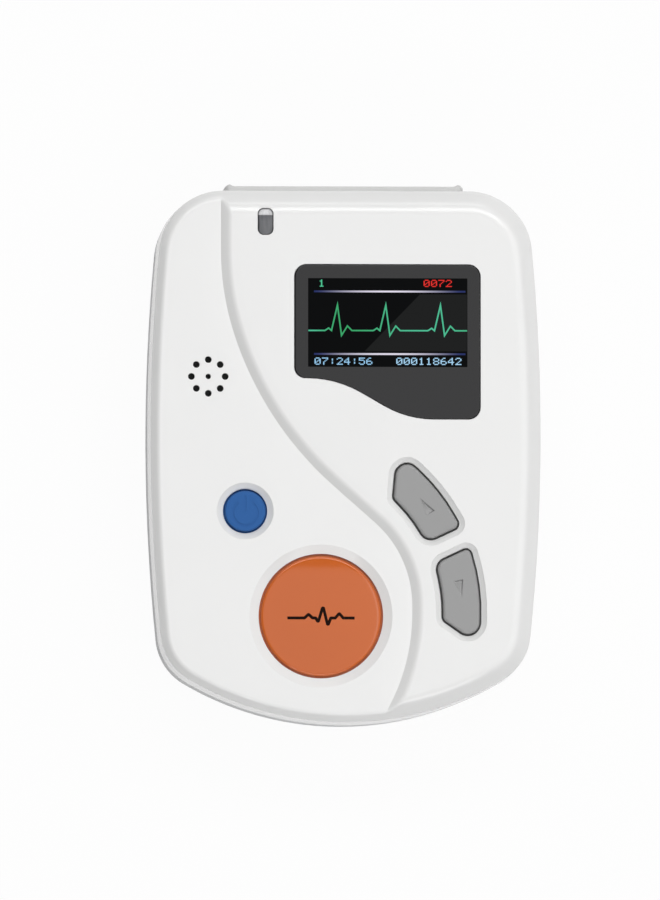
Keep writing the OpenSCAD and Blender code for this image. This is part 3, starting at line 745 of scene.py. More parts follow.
@dataclass(frozen=True)
class Lit(Finish):
    """A lit mark on the display, or a painted reflection on it, with a colour that may change along X from
    low to high of its span.
    """

    middle: Colour | None = None
    span: Pair = (-5.7, 20.5)
    strength: float = 1.0

    def build(self, graph: Graph) -> bpy.types.Material:
        """Blends the end colour to the middle one and back over the span."""
        low, high = self.span
        colour: object = (*self.colour, 1)
        if self.middle is not None:
            across = (graph.axis("X") - low) / (high - low)
            peak = (1 - (across * 2 - 1) ** 2) ** 2
            colour = graph.mix(peak, (*self.colour, 1), (*self.middle, 1))
        return graph.finish({
            "Base Color": (0.002, 0.002, 0.002, 1),
            "Roughness": graph.noise(3) * 0.04 + 0.25,
            "Specular IOR Level": 0.0,
            "Emission Color": colour,
            "Emission Strength": self.strength,
        })


@dataclass(frozen=True)
class Metal(Finish):
    """Plated or drawn metal with lines along one axis."""

    roughness: float = 0.28
    stretch: Triple = (1, 12, 1)

    def build(self, graph: Graph) -> bpy.types.Material:
        """Drawn-out noise changes the colour a little, the roughness more, and the bump finely."""
        lines, spots = graph.noise(0.12, 3, self.stretch), graph.noise(1.6, 2)
        dark, bright = shade(self.colour, 0.86), shade(self.colour, 1.08)
        return graph.finish({
            "Base Color": graph.mix(lines * 0.6 + spots * 0.4, dark, bright),
            "Metallic": 1.0,
            "Roughness": lines * 0.16 + (self.roughness - 0.08),
            "Normal": graph.bump(lines, 0.002),
        })


@dataclass(frozen=True)
class Board(Finish):
    """Solder mask over copper tracks, with round pads."""

    track: Colour = (0.16, 0.50, 0.30)
    pad: Colour = (0.80, 0.62, 0.28)

    def build(self, graph: Graph) -> bpy.types.Material:
        """Tracks are thin bands of bricks' joints, and pads the middles of a cell pattern."""
        bricks = graph.node(
            "ShaderNodeTexBrick",
            {"offset": 0.37, "squash": 1.4, "squash_frequency": 3},
            {0: graph.place, "Scale": 260.0, "Mortar Size": 0.03, "Mortar Smooth": 0.2},
        )
        cells = graph.node("ShaderNodeTexVoronoi", inputs={0: graph.place, "Scale": 340.0})
        joints = Value(graph, bricks.outputs["Fac"])
        pads = 1 - Value(graph, cells.outputs["Distance"]).ramp(0.13, 0.16)
        mask = graph.mix(joints, (*self.colour, 1), (*self.track, 1))
        return graph.finish({
            "Base Color": graph.mix(pads, mask, (*self.pad, 1)),
            "Metallic": pads * 0.9,
            "Roughness": graph.noise(1.5) * 0.1 + 0.28,
            "Normal": graph.bump(joints * 0.6 + pads * 0.4, 0.03),
        })


@dataclass(frozen=True)
class CellJacket(Finish):
    """A printed foil jacket of a battery cell: a band near the plus end, bare metal at both caps."""

    band: Colour = (0.10, 0.22, 0.42)
    minus: float = 0.0
    plus: float = 1.0
    band_start: float = 0.72

    def build(self, graph: Graph) -> bpy.types.Material:
        """The place along Y, as a share from the minus to the plus end, picks cap, jacket or band."""
        along = (graph.axis("Y") - self.minus) / (self.plus - self.minus)
        jacket = along.within(0.0, 1.0)
        body = graph.mix(along.over(self.band_start), (*self.colour, 1), (*self.band, 1))
        colour = graph.mix(jacket, (0.72, 0.72, 0.74, 1), body)
        return graph.finish({
            "Base Color": graph.mix(graph.noise(5) * 0.12, colour, (0.05, 0.05, 0.06, 1)),
            "Metallic": 1 - jacket * 0.75,
            "Roughness": graph.noise(0.8) * 0.1 + 0.26,
            "Normal": graph.bump(graph.noise(0.7), 0.004),
        })


@dataclass(frozen=True)
class Woven(Finish):
    """A fine acoustic mesh: two crossing sine waves of threads."""

    pitch: float = 0.22

    def build(self, graph: Graph) -> bpy.types.Material:
        """Threads run along X and Y; each is a sine of the other coordinate."""
        weave = []
        for name in ("X", "Y"):
            turns = graph.axis(name) * (2 * math.pi / self.pitch)
            node = graph.node("ShaderNodeMath", {"operation": "SINE"}, {0: turns})
            weave.append(Value(graph, node.outputs[0]) * 0.5 + 0.5)
        threads = weave[0] * weave[1]
        return graph.finish({
            "Base Color": graph.mix(threads, shade(self.colour, 0.3), shade(self.colour, 1.5)),
            "Roughness": 0.7 + threads * 0.2,
            "Normal": graph.bump(threads, 0.05),
        })


WHITE_SHELL = Moulded("white shell", (0.80, 0.80, 0.795), roughness=0.21)
GREY_SHELL = Moulded("grey shell", (0.58, 0.585, 0.59), roughness=0.46, grain=0.22, grain_depth=0.003)
FRAME_PLASTIC = Moulded("socket frame plastic", (0.65, 0.65, 0.645), roughness=0.45)
SEAL_RUBBER = Moulded("seal rubber", (0.04, 0.04, 0.042), roughness=0.75, grain=0.3, mottle=0.1)
BLACK_PLASTIC = Moulded("black plastic", (0.018, 0.018, 0.02), roughness=0.5, mottle=0.1)
IVORY_PLASTIC = Moulded("ivory plastic", (0.72, 0.70, 0.62), roughness=0.4, mottle=0.03)
ORANGE_CAP = Moulded(
    "orange cap", srgb(195, 96, 40), grain_depth=0.0004, mottle=0.02,
    sheen=0.0, coat=0.9, coat_roughness=0.07,
)
ORANGE_MARK = Moulded("dark ink", (0.012, 0.004, 0.002), roughness=0.5, mottle=0.1, sheen=0.05)
BLUE_CAP = Moulded("blue cap", srgb(46, 94, 156), grain_depth=0.0006, mottle=0.03, sheen=0.12)
GREY_KEY = Moulded("grey key", srgb(150, 150, 150), roughness=0.45, grain_depth=0.0008)
WINDOW_PRINT = Printed("window print", (0.002, 0.002, 0.003), roughness=0.1)
# its finish paints light past the bend of the guide
STATUS_SMOKE = LightGuide("smoked status window", srgb(98, 99, 102), middle=-14.2, bend=41.7)
DISPLAY_GLASS = Printed("display glass", (0.004, 0.004, 0.005), roughness=0.12)
STEEL = Metal("nickel plate", (0.66, 0.66, 0.67))
CONTACT_GOLD = Metal("contact gold", (0.83, 0.62, 0.28), roughness=0.22)
MAIN_GREEN = Board("green solder mask", (0.03, 0.20, 0.09))
FRONT_END_BLUE = Board("blue solder mask", (0.02, 0.10, 0.26), track=(0.08, 0.26, 0.50))
FOIL_GREY = (0.30, 0.31, 0.33)
CELL_UP = CellJacket("jacket of the cell with its plus end up", FOIL_GREY, minus=-37.25, plus=11.05)
CELL_DOWN = CellJacket("jacket of the turned cell", FOIL_GREY, minus=8.95, plus=-39.35)
RIBBON_AMBER = Printed("amber film", (0.50, 0.24, 0.05), roughness=0.25)
LENS_CLEAR = Printed("lens resin", (0.74, 0.74, 0.66), roughness=0.15)
MESH_BLACK = Woven("acoustic mesh", (0.02, 0.02, 0.02))
SCREEN_BLACK = Lit("screen black", srgb(9, 10, 11))
# painted reflection: a faint glowing patch that stands for a sheen on the screen
SCREEN_PAINTED_SHEEN = Lit("painted screen sheen", srgb(30, 31, 31))
BAR_LIGHT = Lit("bar light", srgb(40, 50, 100), middle=srgb(225, 220, 235))
TRACE_GREEN = Lit("trace green", srgb(60, 165, 105), middle=srgb(80, 190, 150), span=(0, 28))
DIGIT_GREEN = Lit("digit green", srgb(80, 200, 150))
DIGIT_RED = Lit("digit red", srgb(225, 50, 45))
DIGIT_BLUE = Lit("digit blue", srgb(150, 200, 235))
DIGIT_PALE_BLUE = Lit("digit pale blue", srgb(165, 210, 240))


class Body(Enum):
    """The bodies of the model that new pieces ride on."""

    HOUSING = "housing"
    MARK = "mark"
    POWER = "power"
    UP = "up"
    DOWN = "down"
    DOOR = "door"


@dataclass(frozen=True)
class Making:
    """How a finished mesh becomes a piece of the recorder."""

    name: str
    finish: Finish
    body: Body = Body.HOUSING
    slot: str | None = None
    stands_for: tuple[str, ...] = ()
    sharp: float = 22.0

    def place(self, skin: Skin, cuts: Sequence[Sequence[Box]] = ()) -> bpy.types.Object:
        """Makes the object, lets it ride on its body and hides the nodes it stands for.

        Args:
            skin: The piece's surface.
            cuts: Groups of boxes that are cut out of it; the boxes of a group don't touch.

        Returns:
            The object.
        """
        piece = bpy.data.objects.new(self.name, skin.mesh(self.name))
        bpy.context.scene.collection.objects.link(piece)
        for boxes in cuts:
            self._cut(piece, boxes)
        piece.data.set_sharp_from_angle(angle=math.radians(self.sharp))
        piece.data.materials.append(self.finish.material())
        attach(piece, self.body.value)
        if self.stands_for:
            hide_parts(*self.stands_for)
        log.info("%s: %d faces, %s", self.name, len(piece.data.polygons), closed_state(piece.data))
        return piece

    def _cut(self, piece: bpy.types.Object, boxes: Sequence[Box]) -> None:
        """Takes boxes out of the piece."""
        blocks = Skin()
        for low, high in boxes:
            blocks.block(low, high)
        tool = bpy.data.objects.new("cutter", blocks.mesh("cutter"))
        bpy.context.scene.collection.objects.link(tool)
        modifier = piece.modifiers.new("notch", "BOOLEAN")
        modifier.operation, modifier.solver, modifier.object = "DIFFERENCE", "EXACT", tool
        done = bpy.data.meshes.new_from_object(piece.evaluated_get(bpy.context.evaluated_depsgraph_get()))
        piece.modifiers.remove(modifier)
        piece.data = done
        piece.data.polygons.foreach_set("use_smooth", np.ones(len(done.polygons), bool))
        bpy.data.objects.remove(tool)


def closed_state(mesh: bpy.types.Mesh) -> str:
    """Says whether every edge of a mesh has two faces, and which way they point."""
    shape = bmesh.new()
    shape.from_mesh(mesh)
    loose = sum(1 for edge in shape.edges if len(edge.link_faces) != 2)
    volume = shape.calc_volume(signed=True) * 1e9
    shape.free()
    return f"{loose} open edges, {volume:.0f} mm3"


# Casing


@dataclass
class CaseForm:
    """The outline and the face of the casing, which both shells and the door share.

    bevel_slopes holds distances in from the edge with the slope there in degrees. top_bevel
    says where along Y the bevel starts to widen, over which length, and by how much.
    """

    half_width: float = 34.5
    bottom: float = -47.45
    top: float = 46.4
    side_radius: float = 350.0
    widest: float = 3.35
    bottom_radius: float = 54.7
    top_corner: float = 11.6
    bottom_corner: float = 10.2
    draft: float = 0.25
    face: float = 28.0
    low_face: float = 26.8
    parting: float = 14.0
    gasket: float = 0.3
    wall: float = 1.8
    ceiling: float = 25.2
    step_corners: tuple[Corner, ...] = (
        (-22, 50.15, 0), (-22, 28.2, 47.5), (-14.7, 5.3, 60),
        (11.6, -18, 19.4), (11.6, -36.5, 35), (4, -51.45, 0),
    )
    step_turn: float = 2.0
    step_spacing: float = 0.8
    step_slope: float = 0.762
    blend: float = 0.4
    bevel_slopes: tuple[Pair, ...] = (
        (0, 46), (1.7, 44), (2.1, 36), (2.5, 23), (3.0, 13), (3.7, 0), (4.2, 0),
    )
    bevel_samples: int = 400
    arc_steps: tuple[int, int, int, int] = (14, 22, 16, 24)
    top_samples: int = 12
    top_bevel: Triple = (33.0, 8.0, 0.7)
    top_bevel_inset: Pair = (0.6, 3.7)
    seam: tuple[Pair, ...] = ((0.02, 0.25), (0.08, 0.08), (0.25, 0.0))

    def __post_init__(self) -> None:
        """Finds the arcs' centres, as tangent circles, and sums the bevel's slope into its height."""
        self.upper_seam = self.parting + self.gasket / 2
        self.lower_seam = self.parting - self.gasket / 2
        self.side_centre = np.array((self.half_width - self.side_radius, self.widest))
        self.bottom_centre = np.array((0, self.bottom + self.bottom_radius))
        y = self.top - self.top_corner
        reach = self.side_radius - self.top_corner
        self.top_centre = np.array((self.side_centre[0] + math.sqrt(reach**2 - (y - self.widest) ** 2), y))
        r1, r2 = self.side_radius - self.bottom_corner, self.bottom_radius - self.bottom_corner
        link = self.bottom_centre - self.side_centre
        span = float(np.linalg.norm(link))
        along = (r1**2 - r2**2 + span**2) / (2 * span)
        u = link / span
        across = math.sqrt(r1**2 - along**2) * np.array((u[1], -u[0]))
        self.corner_centre = self.side_centre + along * u + across
        reach_in, slope = np.array(self.bevel_slopes).T
        self._bevel_at = np.linspace(0, reach_in[-1], self.bevel_samples)
        tangent = np.tan(np.radians(np.interp(self._bevel_at, reach_in, slope)))
        rise = np.concatenate(([0], np.cumsum((tangent[1:] + tangent[:-1]) / 2 * np.diff(self._bevel_at))))
        self._bevel_z = self.face - rise[-1] + rise
        foot = rounded(self.step_corners, closed=False, turn=self.step_turn)
        self.step_foot = evened(foot, self.step_spacing, closed=False)
        far_left = self.step_foot[[-1, 0]] * (0, 1) - (2 * self.half_width, 0)
        self._low_side = np.vstack((self.step_foot, far_left))

    def outline(self, inset: float = 0.0) -> Points:
        """Four tangent arcs and their mirror image, all moved inwards by one distance."""
        low = bearing(self.bottom_centre, self.corner_centre) + 360
        flank = bearing(self.side_centre, self.corner_centre) + 360
        high = bearing(self.side_centre, self.top_centre) + 360
        steps = self.arc_steps
        right = np.vstack((
            arc(self.bottom_centre, self.bottom_radius - inset, 270, low, steps[0])[:-1],
            arc(self.corner_centre, self.bottom_corner - inset, low, flank, steps[1])[:-1],
            arc(self.side_centre, self.side_radius - inset, flank, high, steps[2])[:-1],
            arc(self.top_centre, self.top_corner - inset, high, 450, steps[3]),
        ))
        x, y = right[-1]
        across = np.linspace(x, -x, self.top_samples)
        straight = np.column_stack((across, np.full(self.top_samples, y)))[1:-1]
        return np.vstack((right, straight, right[:0:-1] * (-1, 1)))

    def depth_in(self, points: Points) -> np.ndarray:
        """How far points lie in from the side wall's top edge."""
        return distance(points, self.outline(self.draft))

    def bevel(self, inwards: np.ndarray | float) -> np.ndarray:
        """Height of the bevel at a distance in from the edge."""
        return np.interp(inwards, self._bevel_at, self._bevel_z)

    def face_height(self, points: Points) -> np.ndarray:
        """The bevel or the stepped face, whichever is lower, with a rounded crease.

        The stepped face is flat to the left of the step's foot and rises at a fixed slope
        to its right, until the bevel's level top takes over. Past the start of the top
        bevel, over its run, the bevel is drawn out by its extra width.
        """
        side = np.where(inside(points, self._low_side), -1, 1)
        across = distance(points, self.step_foot, closed=False) * side
        stepped = self.low_face + self.step_slope * np.maximum(across, 0)
        inwards = self.depth_in(points)
        start, run, extra = self.top_bevel
        near, width = self.top_bevel_inset
        upper = np.clip((points[:, 1] - start) / run, 0, 1)
        inwards = inwards - extra * upper * np.clip((inwards - near) / width, 0, 1)
        return soft_min(self.bevel(inwards), stepped, self.blend)

    def within(self, path: Points, inset: float) -> Points:
        """The part of an open path that lies in the outline moved inwards."""
        return path[inside(path, self.outline(inset))]

    def seam_rows(self, level: float, way: int) -> list[Pair]:
        """Insets and heights of a shell's chamfer at the seam; the wall goes on against that way."""
        return [(inset, level - way * rise) for inset, rise in self.seam]


@dataclass
class FaceFeatures:
    """Places and outlines of everything on the front face."""

    window_corners: tuple[Corner, ...] = (
        (-9.1, 33.05, 2.1), (-9.1, 13.15, 1.9), (-1.8, 13.15, 19),
        (10.7, 5.95, 17.5), (23.5, 5.95, 2.1), (23.5, 33.05, 2.1),
    )
    window_ledge: float = 1.0
    window_depth: float = 1.5
    fit: float = 0.1
    gap: float = 0.34
    key_gap: Pair = (0.08, 0.28)
    mark: Pair = (-4.4, -28.6)
    mark_radius: float = 10.6
    mark_ring: float = 1.6
    mark_fall: float = 0.85
    power: Pair = (-17.7, -10.2)
    power_radius: float = 3.55
    power_ring: float = 1.1
    power_fall: float = 0.95
    up_corners: tuple[Corner, ...] = (
        (8.5, -3.1, 2.1), (8.05, -8.05, 1.4), (11.3, -11.4, 26), (14, -15.9, 2.25),
        (20.3, -12.95, 1.25), (16.45, -6.25, 33), (10.55, -0.85, 2.2),
    )
    down_corners: tuple[Corner, ...] = (
        (15.45, -19.25, 2.2), (16.8, -25.1, 25), (16.75, -29.35, 1.35), (21.75, -32.85, 2.25),
        (23.6, -30.55, 2.4), (23.9, -23.35, 34), (21.7, -16.3, 1.15),
    )
    up_stem: Pair = (13.4, -8.4)
    down_stem: Pair = (20, -24)
    up_arrow: tuple[Pair, ...] = ((12.9, -7.9), (14.0, -11.0), (15.55, -10.15))
    down_arrow: tuple[Pair, ...] = ((18.8, -22.5), (20.35, -25.4), (20.5, -22.15))
    key_recess: float = 0.95
    key_fall: float = 0.82
    speaker: Pair = (-24.2, 13.4)
    speaker_ring: float = 2.96
    speaker_hole: float = 0.6
    speaker_middle_hole: float = 0.48
    speaker_ring_holes: int = 8
    speaker_hole_steps: tuple[int, int] = (24, 20)
    status: Pair = (-14.2, 40.6)
    status_size: Pair = (2.6, 4.56)
    status_corner: float = 0.95

    def window(self) -> Points:
        """Outline of the display window."""
        return rounded(self.window_corners)

    def key(self, corners: tuple[Corner, ...]) -> Points:
        """Outline of the opening for a key."""
        return shifted(rounded(corners), self.key_gap[0])

    def status_slot(self, extra: float) -> Points:
        """Outline of the status window: a rectangle with round corners, grown by a distance."""
        middle, half = np.array(self.status), np.array(self.status_size) / 2 + extra
        return rounded_box(middle - half, middle + half, self.status_corner + extra, turn=8.0)

    def speaker_holes(self) -> list[Points]:
        """Outlines of the sounder's holes: one in the middle and eight round it."""
        turn = np.radians(np.arange(self.speaker_ring_holes) * 360 / self.speaker_ring_holes)
        spots = np.asarray(self.speaker) + self.speaker_ring * np.column_stack((np.sin(turn), np.cos(turn)))
        steps, middle_steps = self.speaker_hole_steps
        ring = [circle(spot, self.speaker_hole, steps) for spot in spots]
        return [circle(self.speaker, self.speaker_middle_hole, middle_steps), *ring]


@dataclass
class FrontShell:
    """The white front shell: bevel, stepped face, wells and openings over a hollow inside."""

    form: CaseForm
    features: FaceFeatures
    edge_radius: float = 0.45
    edge_start: float = 44.0
    edge_steps: int = 6
    lap_height: float = 1.4
    lap_wall: float = 0.75
    shoulder: float = 1.6
    boss_radius: float = 3.0
    boss_bore: float = 1.275
    boss_bite: float = 7.0
    case_spots: tuple[Pair, ...] = ((27.5, 36.95), (-27.5, 36.95), (26, -34.05), (-26, -34.05))
    board_spots: tuple[Pair, ...] = ((-27, 26), (28.5, 2), (-27, -21), (20, -37.85))
    board_top: float = 19.8
    board_boss_radius: float = 1.9
    board_boss_bore: float = 1.025
    board_boss_bite: float = 3.6
    boss_margin: float = 0.05
    slot_margin: float = 0.5
    bevel_lines: tuple[float, ...] = (
        0.5, 0.75, 1.0, 1.2, 1.4, 1.6, 1.8, 2.1, 2.4, 2.7, 3.0, 3.35, 3.7, 4.1, 4.5,
    )
    step_lines: tuple[float, ...] = (0, 0.35, 0.7, 1.05, 1.3, 1.55, 1.8, 2.1)
    line_step: float = 2.0
    line_margin: float = 0.3
    mark_steps: int = 128
    power_steps: int = 80
    boss_steps: int = 40
    bore_steps: int = 32

    def _edge_rings(self) -> list[Pair]:
        """Insets and heights of the small rounding between bevel and side wall, from the top down."""
        turns = np.radians(np.linspace(self.edge_start, 90, self.edge_steps))
        start = self.edge_radius * (1 - math.sin(turns[0]))
        base = float(self.form.bevel(start)) - self.edge_radius * math.cos(turns[0])
        insets = self.form.draft + self.edge_radius * (1 - np.sin(turns))
        return list(zip(insets, base + self.edge_radius * np.cos(turns)))

    def _side(self, skin: Skin) -> Pair:
        """Adds the side wall as a profile of insets and heights carried round the outline.

        Returns:
            The inset of its first ring and of its last one.
        """
        form = self.form
        base = form.upper_seam
        lap = base + self.lap_height
        profile = [
            *self._edge_rings(),
            *form.seam_rows(base, -1),
            (self.lap_wall, base), (self.lap_wall, lap), (form.wall, lap),
            (form.wall, form.ceiling - self.shoulder),
            (form.wall + self.shoulder / 2, form.ceiling - self.shoulder / 4),
            (form.wall + self.shoulder, form.ceiling),
        ]
        rings = [at_height(form.outline(inset), z) for inset, z in profile]
        skin.loft(rings, flip=True)
        return profile[0][0], profile[-1][0]

    def _openings(self) -> list[Points]:
        """Outlines of the holes that go through the face."""
        f = self.features
        return [
            circle(f.mark, f.mark_radius + f.gap, self.mark_steps),
            circle(f.power, f.power_radius + f.gap, self.power_steps),
            f.key(f.up_corners), f.key(f.down_corners), f.status_slot(f.fit), *f.speaker_holes(),
            shifted(f.window(), -f.window_ledge),
        ]

    def _crease_lines(self, outer: float) -> list[Points]:
        """Paths that the face's triangles follow: round the bevel, but for the slot, and up the step."""
        form = self.form
        slot_zone = self.features.status_slot(self.slot_margin)
        lines: list[Points] = []
        for inset in self.bevel_lines:
            ring = evened(form.outline(form.draft + inset), self.line_step)
            free = ~inside(ring, slot_zone)
            if free.all():
                lines.append(np.vstack((ring, ring[:1])))
            else:
                turn = int(np.argmin(free))
                lines.append(np.roll(ring, -turn, 0)[np.roll(free, -turn)])
        for shift in self.step_lines:
            line = shifted(form.step_foot, -shift, closed=False)
            lines.append(form.within(line, outer + self.line_margin))
        return lines

    def _bosses(self, inner: float) -> list[Terrace]:
        """Both kinds of screw bosses with their pilot holes, kept inside the side wall."""
        cavity = self.form.outline(inner + self.boss_margin)
        case = (self.boss_radius, self.boss_bore, self.form.upper_seam, self.boss_bite)
        board = (self.board_boss_radius, self.board_boss_bore, self.board_top, self.board_boss_bite)
        bosses: list[Terrace] = []
        for spots, (radius, bore, foot, bite) in ((self.case_spots, case), (self.board_spots, board)):
            for spot in spots:
                bosses.append(Terrace(kept_in(circle(spot, radius, self.boss_steps), cavity), foot))
                bosses.append(Terrace(circle(spot, bore, self.bore_steps), foot + bite))
        return bosses

    def _ring(self, centre: Pair, radius: float, width: float, fall: float) -> Terrace:
        """A sloped ring round a button: its height falls evenly towards the button."""
        form = self.form
        inner = radius + self.features.gap

        def cone(points: Points) -> np.ndarray:
            """Height over the plan: the distance from the centre, scaled to the ring's fall."""
            out = np.linalg.norm(points - centre, axis=1) - inner
            return form.low_face - fall * np.clip(1 - out / width, 0, 1)

        return Terrace(circle(centre, inner + width, self.mark_steps), cone)

    def _key_slope(self, corners: tuple[Corner, ...]) -> Terrace:
        """A sloped band round a key: its height falls evenly towards the key's opening."""
        form, f = self.form, self.features
        hole = f.key(corners)

        def slope(points: Points) -> np.ndarray:
            """Height over the plan: the distance from the opening, scaled to the band's fall."""
            return form.face - f.key_fall * np.clip(1 - distance(points, hole) / f.key_recess, 0, 1)

        return Terrace(shifted(hole, f.key_recess), slope)

    def build(self) -> bpy.types.Object:
        """Builds the shell: outer relief, inner relief and side wall, welded."""
        form, f = self.form, self.features
        skin = Skin()
        outer, inner = self._side(skin)
        holes = [Terrace(loop, None) for loop in self._openings()]
        terraces = [
            self._ring(f.mark, f.mark_radius, f.mark_ring, f.mark_fall),
            self._ring(f.power, f.power_radius, f.power_ring, f.power_fall),
            self._key_slope(f.up_corners),
            self._key_slope(f.down_corners),
            Terrace(shifted(f.window(), f.fit), form.face - f.window_depth),
        ]
        top = Relief(form.outline(outer), form.face_height, [*terraces, *holes], self._crease_lines(outer))
        top.add_to(skin, depth=form.ceiling)
        under = Relief(form.outline(inner), form.ceiling, [*self._bosses(inner), *holes])
        under.add_to(skin, flip=True)
        making = Making("front_shell", WHITE_SHELL, slot="white_shell", stands_for=("front_cover",))
        return making.place(skin, [[SocketEnd(form).notch()]])


@dataclass
class RearShell:
    """The grey rear shell: rounded back, door strip, battery bay, counterbores and bosses."""

    form: CaseForm
    edge_radius: float = 3.0
    edge_turns: tuple[float, ...] = (0, 12, 24, 36, 48, 59, 68, 76)
    wall_turns: Pair = (84, 90)
    floor: float = 1.8
    lip_height: float = 1.3
    lip_inset: float = 0.95
    lip_chamfer: float = 0.1
    door_half: float = 17.2
    door_corner: float = 3.1
    door_top: float = 15.25
    bay: tuple[float, float, float, float] = (-15.3, -41.45, 15.3, 13.15)
    bay_wall: float = 1.2
    bay_roof: float = 16.9
    bay_roof_wall: float = 1.0
    rail: float = 3.1
    rail_border: float = 0.9
    strip_border: float = 0.27
    strip_overrun: float = 2.0
    strip_end: float = 8.0
    end_gap: float = 0.01
    plan_step: float = 1.0
    wall_foot: float = 0.3
    wall_margin: float = 0.2
    cut_margin: float = 0.1
    hook_spots: Pair = (-27.45, 7.15)
    hook_length: float = 4.0
    hook_height: float = 1.2
    slot_reach: float = 1.3
    slot_gap: float = 0.2
    travel: float = 8.0
    head_radius: float = 2.4
    seat: float = 8.0
    shank_radius: float = 1.45
    boss_radius: float = 3.3
    head_steps: int = 48
    shank_steps: int = 36
    boss_steps: int = 48
    post_steps: int = 32
    pin_steps: int = 24
    post_radius: float = 2.0
    pin_radius: float = 0.9
    post_top: float = 10.7
    pin_top: float = 12.3
    posts: tuple[Pair, ...] = ((19, 18.5), (-19, 18.5), (19, 33.95), (-19, 33.95))
    case_spots: tuple[Pair, ...] = FrontShell.case_spots

    def edge_height(self, points: Points) -> np.ndarray:
        """Height of the back: a quarter circle at the edge, then flat."""
        inwards = distance(points, self.form.outline(self.form.draft / 2))
        out = np.clip(1 - inwards / self.edge_radius, 0, 1)
        return self.edge_radius * (1 - np.sqrt(1 - out**2))

    def strip(self, less: float = 0.0) -> Points:
        """Plan of the door's strip, which runs out through the bottom end, smaller by a distance."""
        half, low = self.door_half - less, self.form.bottom - self.strip_overrun
        return rounded_box((-half, low), (half, self.door_top - less), self.door_corner - less, 0)

    def edge_inset(self, turn: float) -> float:
        """How far in the rounded edge lies where it has turned by an angle in degrees."""
        return self.form.draft / 2 + self.edge_radius * (1 - math.sin(math.radians(turn)))

    def strip_sides(self, less: float = 0.0) -> tuple[Points, Points]:
        """Prepares the door strip's plan.

        Args:
            less: How much smaller than its groove it is.

        Returns:
            Its points inside the casing, and the casing's lower edge from left to right.
        """
        clip = self.form.outline(self.form.draft / 2 + self.strip_border)
        strip = evened(self.strip(less), self.plan_step)
        low = clip[clip[:, 1] < self.form.bottom + self.strip_end]
        return strip[inside(strip, clip)], low[np.argsort(low[:, 0])]

    @staticmethod
    def closed_strip(strip: Points, half: float, end: Points, ends_y: np.ndarray) -> Points:
        """Closes the door strip's plan along the casing's bottom edge.

        Args:
            strip: Its points inside the casing.
            half: Half its width.
            end: The casing's lower edge between the strip's sides, from left to right.
            ends_y: Where the strip's left and right side meet that edge.

        Returns:
            The closed plan, counter-clockwise.
        """
        low = np.vstack(([(-half, ends_y[0])], end, [(half, ends_y[1])]))
        rising, falling = strip[strip[:, 0] > 0], strip[strip[:, 0] <= 0]
        rising = rising[np.lexsort((-rising[:, 0], rising[:, 1]))]
        falling = falling[np.lexsort((-falling[:, 0], -falling[:, 1]))]
        return np.vstack((low, rising, falling))

    def _side(self, skin: Skin) -> Pair:
        """Adds the side wall with the lip that reaches into the front shell.

        Returns:
            The inset of its first ring and of its last one.
        """
        form = self.form
        high = form.lower_seam
        lip, foot = form.upper_seam + self.lip_height, self.edge_radius + self.wall_foot
        edge = [
            (self.edge_inset(turn), self.edge_radius * (1 - math.cos(math.radians(turn))))
            for turn in self.wall_turns
        ]
        profile = [
            *edge,
            *form.seam_rows(high, 1),
            (self.lip_inset, high), (self.lip_inset, lip - self.lip_chamfer),
            (self.lip_inset + self.lip_chamfer, lip), (form.wall, lip), (form.wall, high),
            (form.wall + form.draft / 2, foot), (foot, self.floor),
        ]
        skin.loft([at_height(form.outline(inset), z) for inset, z in profile])
        return profile[0][0], profile[-1][0]

    def _under_door(self, points: Points) -> np.ndarray:
        """Roof of the strip, or the rounded edge where that is higher."""
        return np.maximum(self.edge_height(points), self.floor)

    def _back(self, outer: float, shanks: list[Terrace]) -> Relief:
        """The back with the strip for the door, the battery bay and the counterbores."""
        strip, low = self.strip_sides()
        half = self.door_half
        ends_y = np.interp((-half, half), low[:, 0], low[:, 1])
        end = low[np.abs(low[:, 0]) < half - self.end_gap]
        door_zone = self.closed_strip(strip, half, end, ends_y)
        terraces = [Terrace(door_zone, self._under_door), Terrace(rectangle(*self.bay), self.bay_roof)]
        heads = [circle(spot, self.head_radius, self.head_steps) for spot in self.case_spots]
        bores = [Terrace(head, self.seat) for head in heads]
        rings = [self.form.outline(self.edge_inset(turn)) for turn in self.edge_turns]
        return Relief(self.form.outline(outer), self.edge_height, [*terraces, *bores, *shanks], loops=rings)

    def _inside(self, inner: float, shanks: list[Terrace]) -> Relief:
        """The floor with the rails, the bay's walls, the board's posts and the screw bosses."""
        x0, y0, x1, y1 = self.bay
        w = self.bay_wall
        half = self.door_half + self.rail_border
        rails = evened(rectangle(-half, y0 - 2 * w, half, y1 + 2 * w), self.plan_step)
        walls = evened(rectangle(x0 - w, y0 - w, x1 + w, y1 + w), self.plan_step)
        cavity = self.form.outline(inner + FrontShell.boss_margin)
        terraces = [
            Terrace(kept_in(rails, cavity), self.rail),
            Terrace(kept_in(walls, shifted(cavity, -self.wall_margin)), self.bay_roof + self.bay_roof_wall),
            *(Terrace(circle(s, self.post_radius, self.post_steps), self.post_top) for s in self.posts),
            *(Terrace(circle(s, self.pin_radius, self.pin_steps), self.pin_top) for s in self.posts),
        ]
        steps = self.boss_steps
        bosses = [kept_in(circle(spot, self.boss_radius, steps), cavity) for spot in self.case_spots]
        terraces += [Terrace(boss, self.form.lower_seam) for boss in bosses]
        return Relief(self.form.outline(inner), self.floor, [*terraces, *shanks])

    def build(self) -> bpy.types.Object:
        """Builds the shell: back relief, inner relief and side wall, welded."""
        skin = Skin()
        outer, inner = self._side(skin)
        steps = self.shank_steps
        shanks = [Terrace(circle(s, self.shank_radius, steps), None) for s in self.case_spots]
        self._back(outer, shanks).add_to(skin, flip=True, depth=self.form.lower_seam)
        self._inside(inner, shanks).add_to(skin)
        making = Making("rear_shell", GREY_SHELL, slot="grey_shell", stands_for=("rear_cover",))
        return making.place(skin, [[SocketEnd(self.form).notch()], *self._hook_slots()])

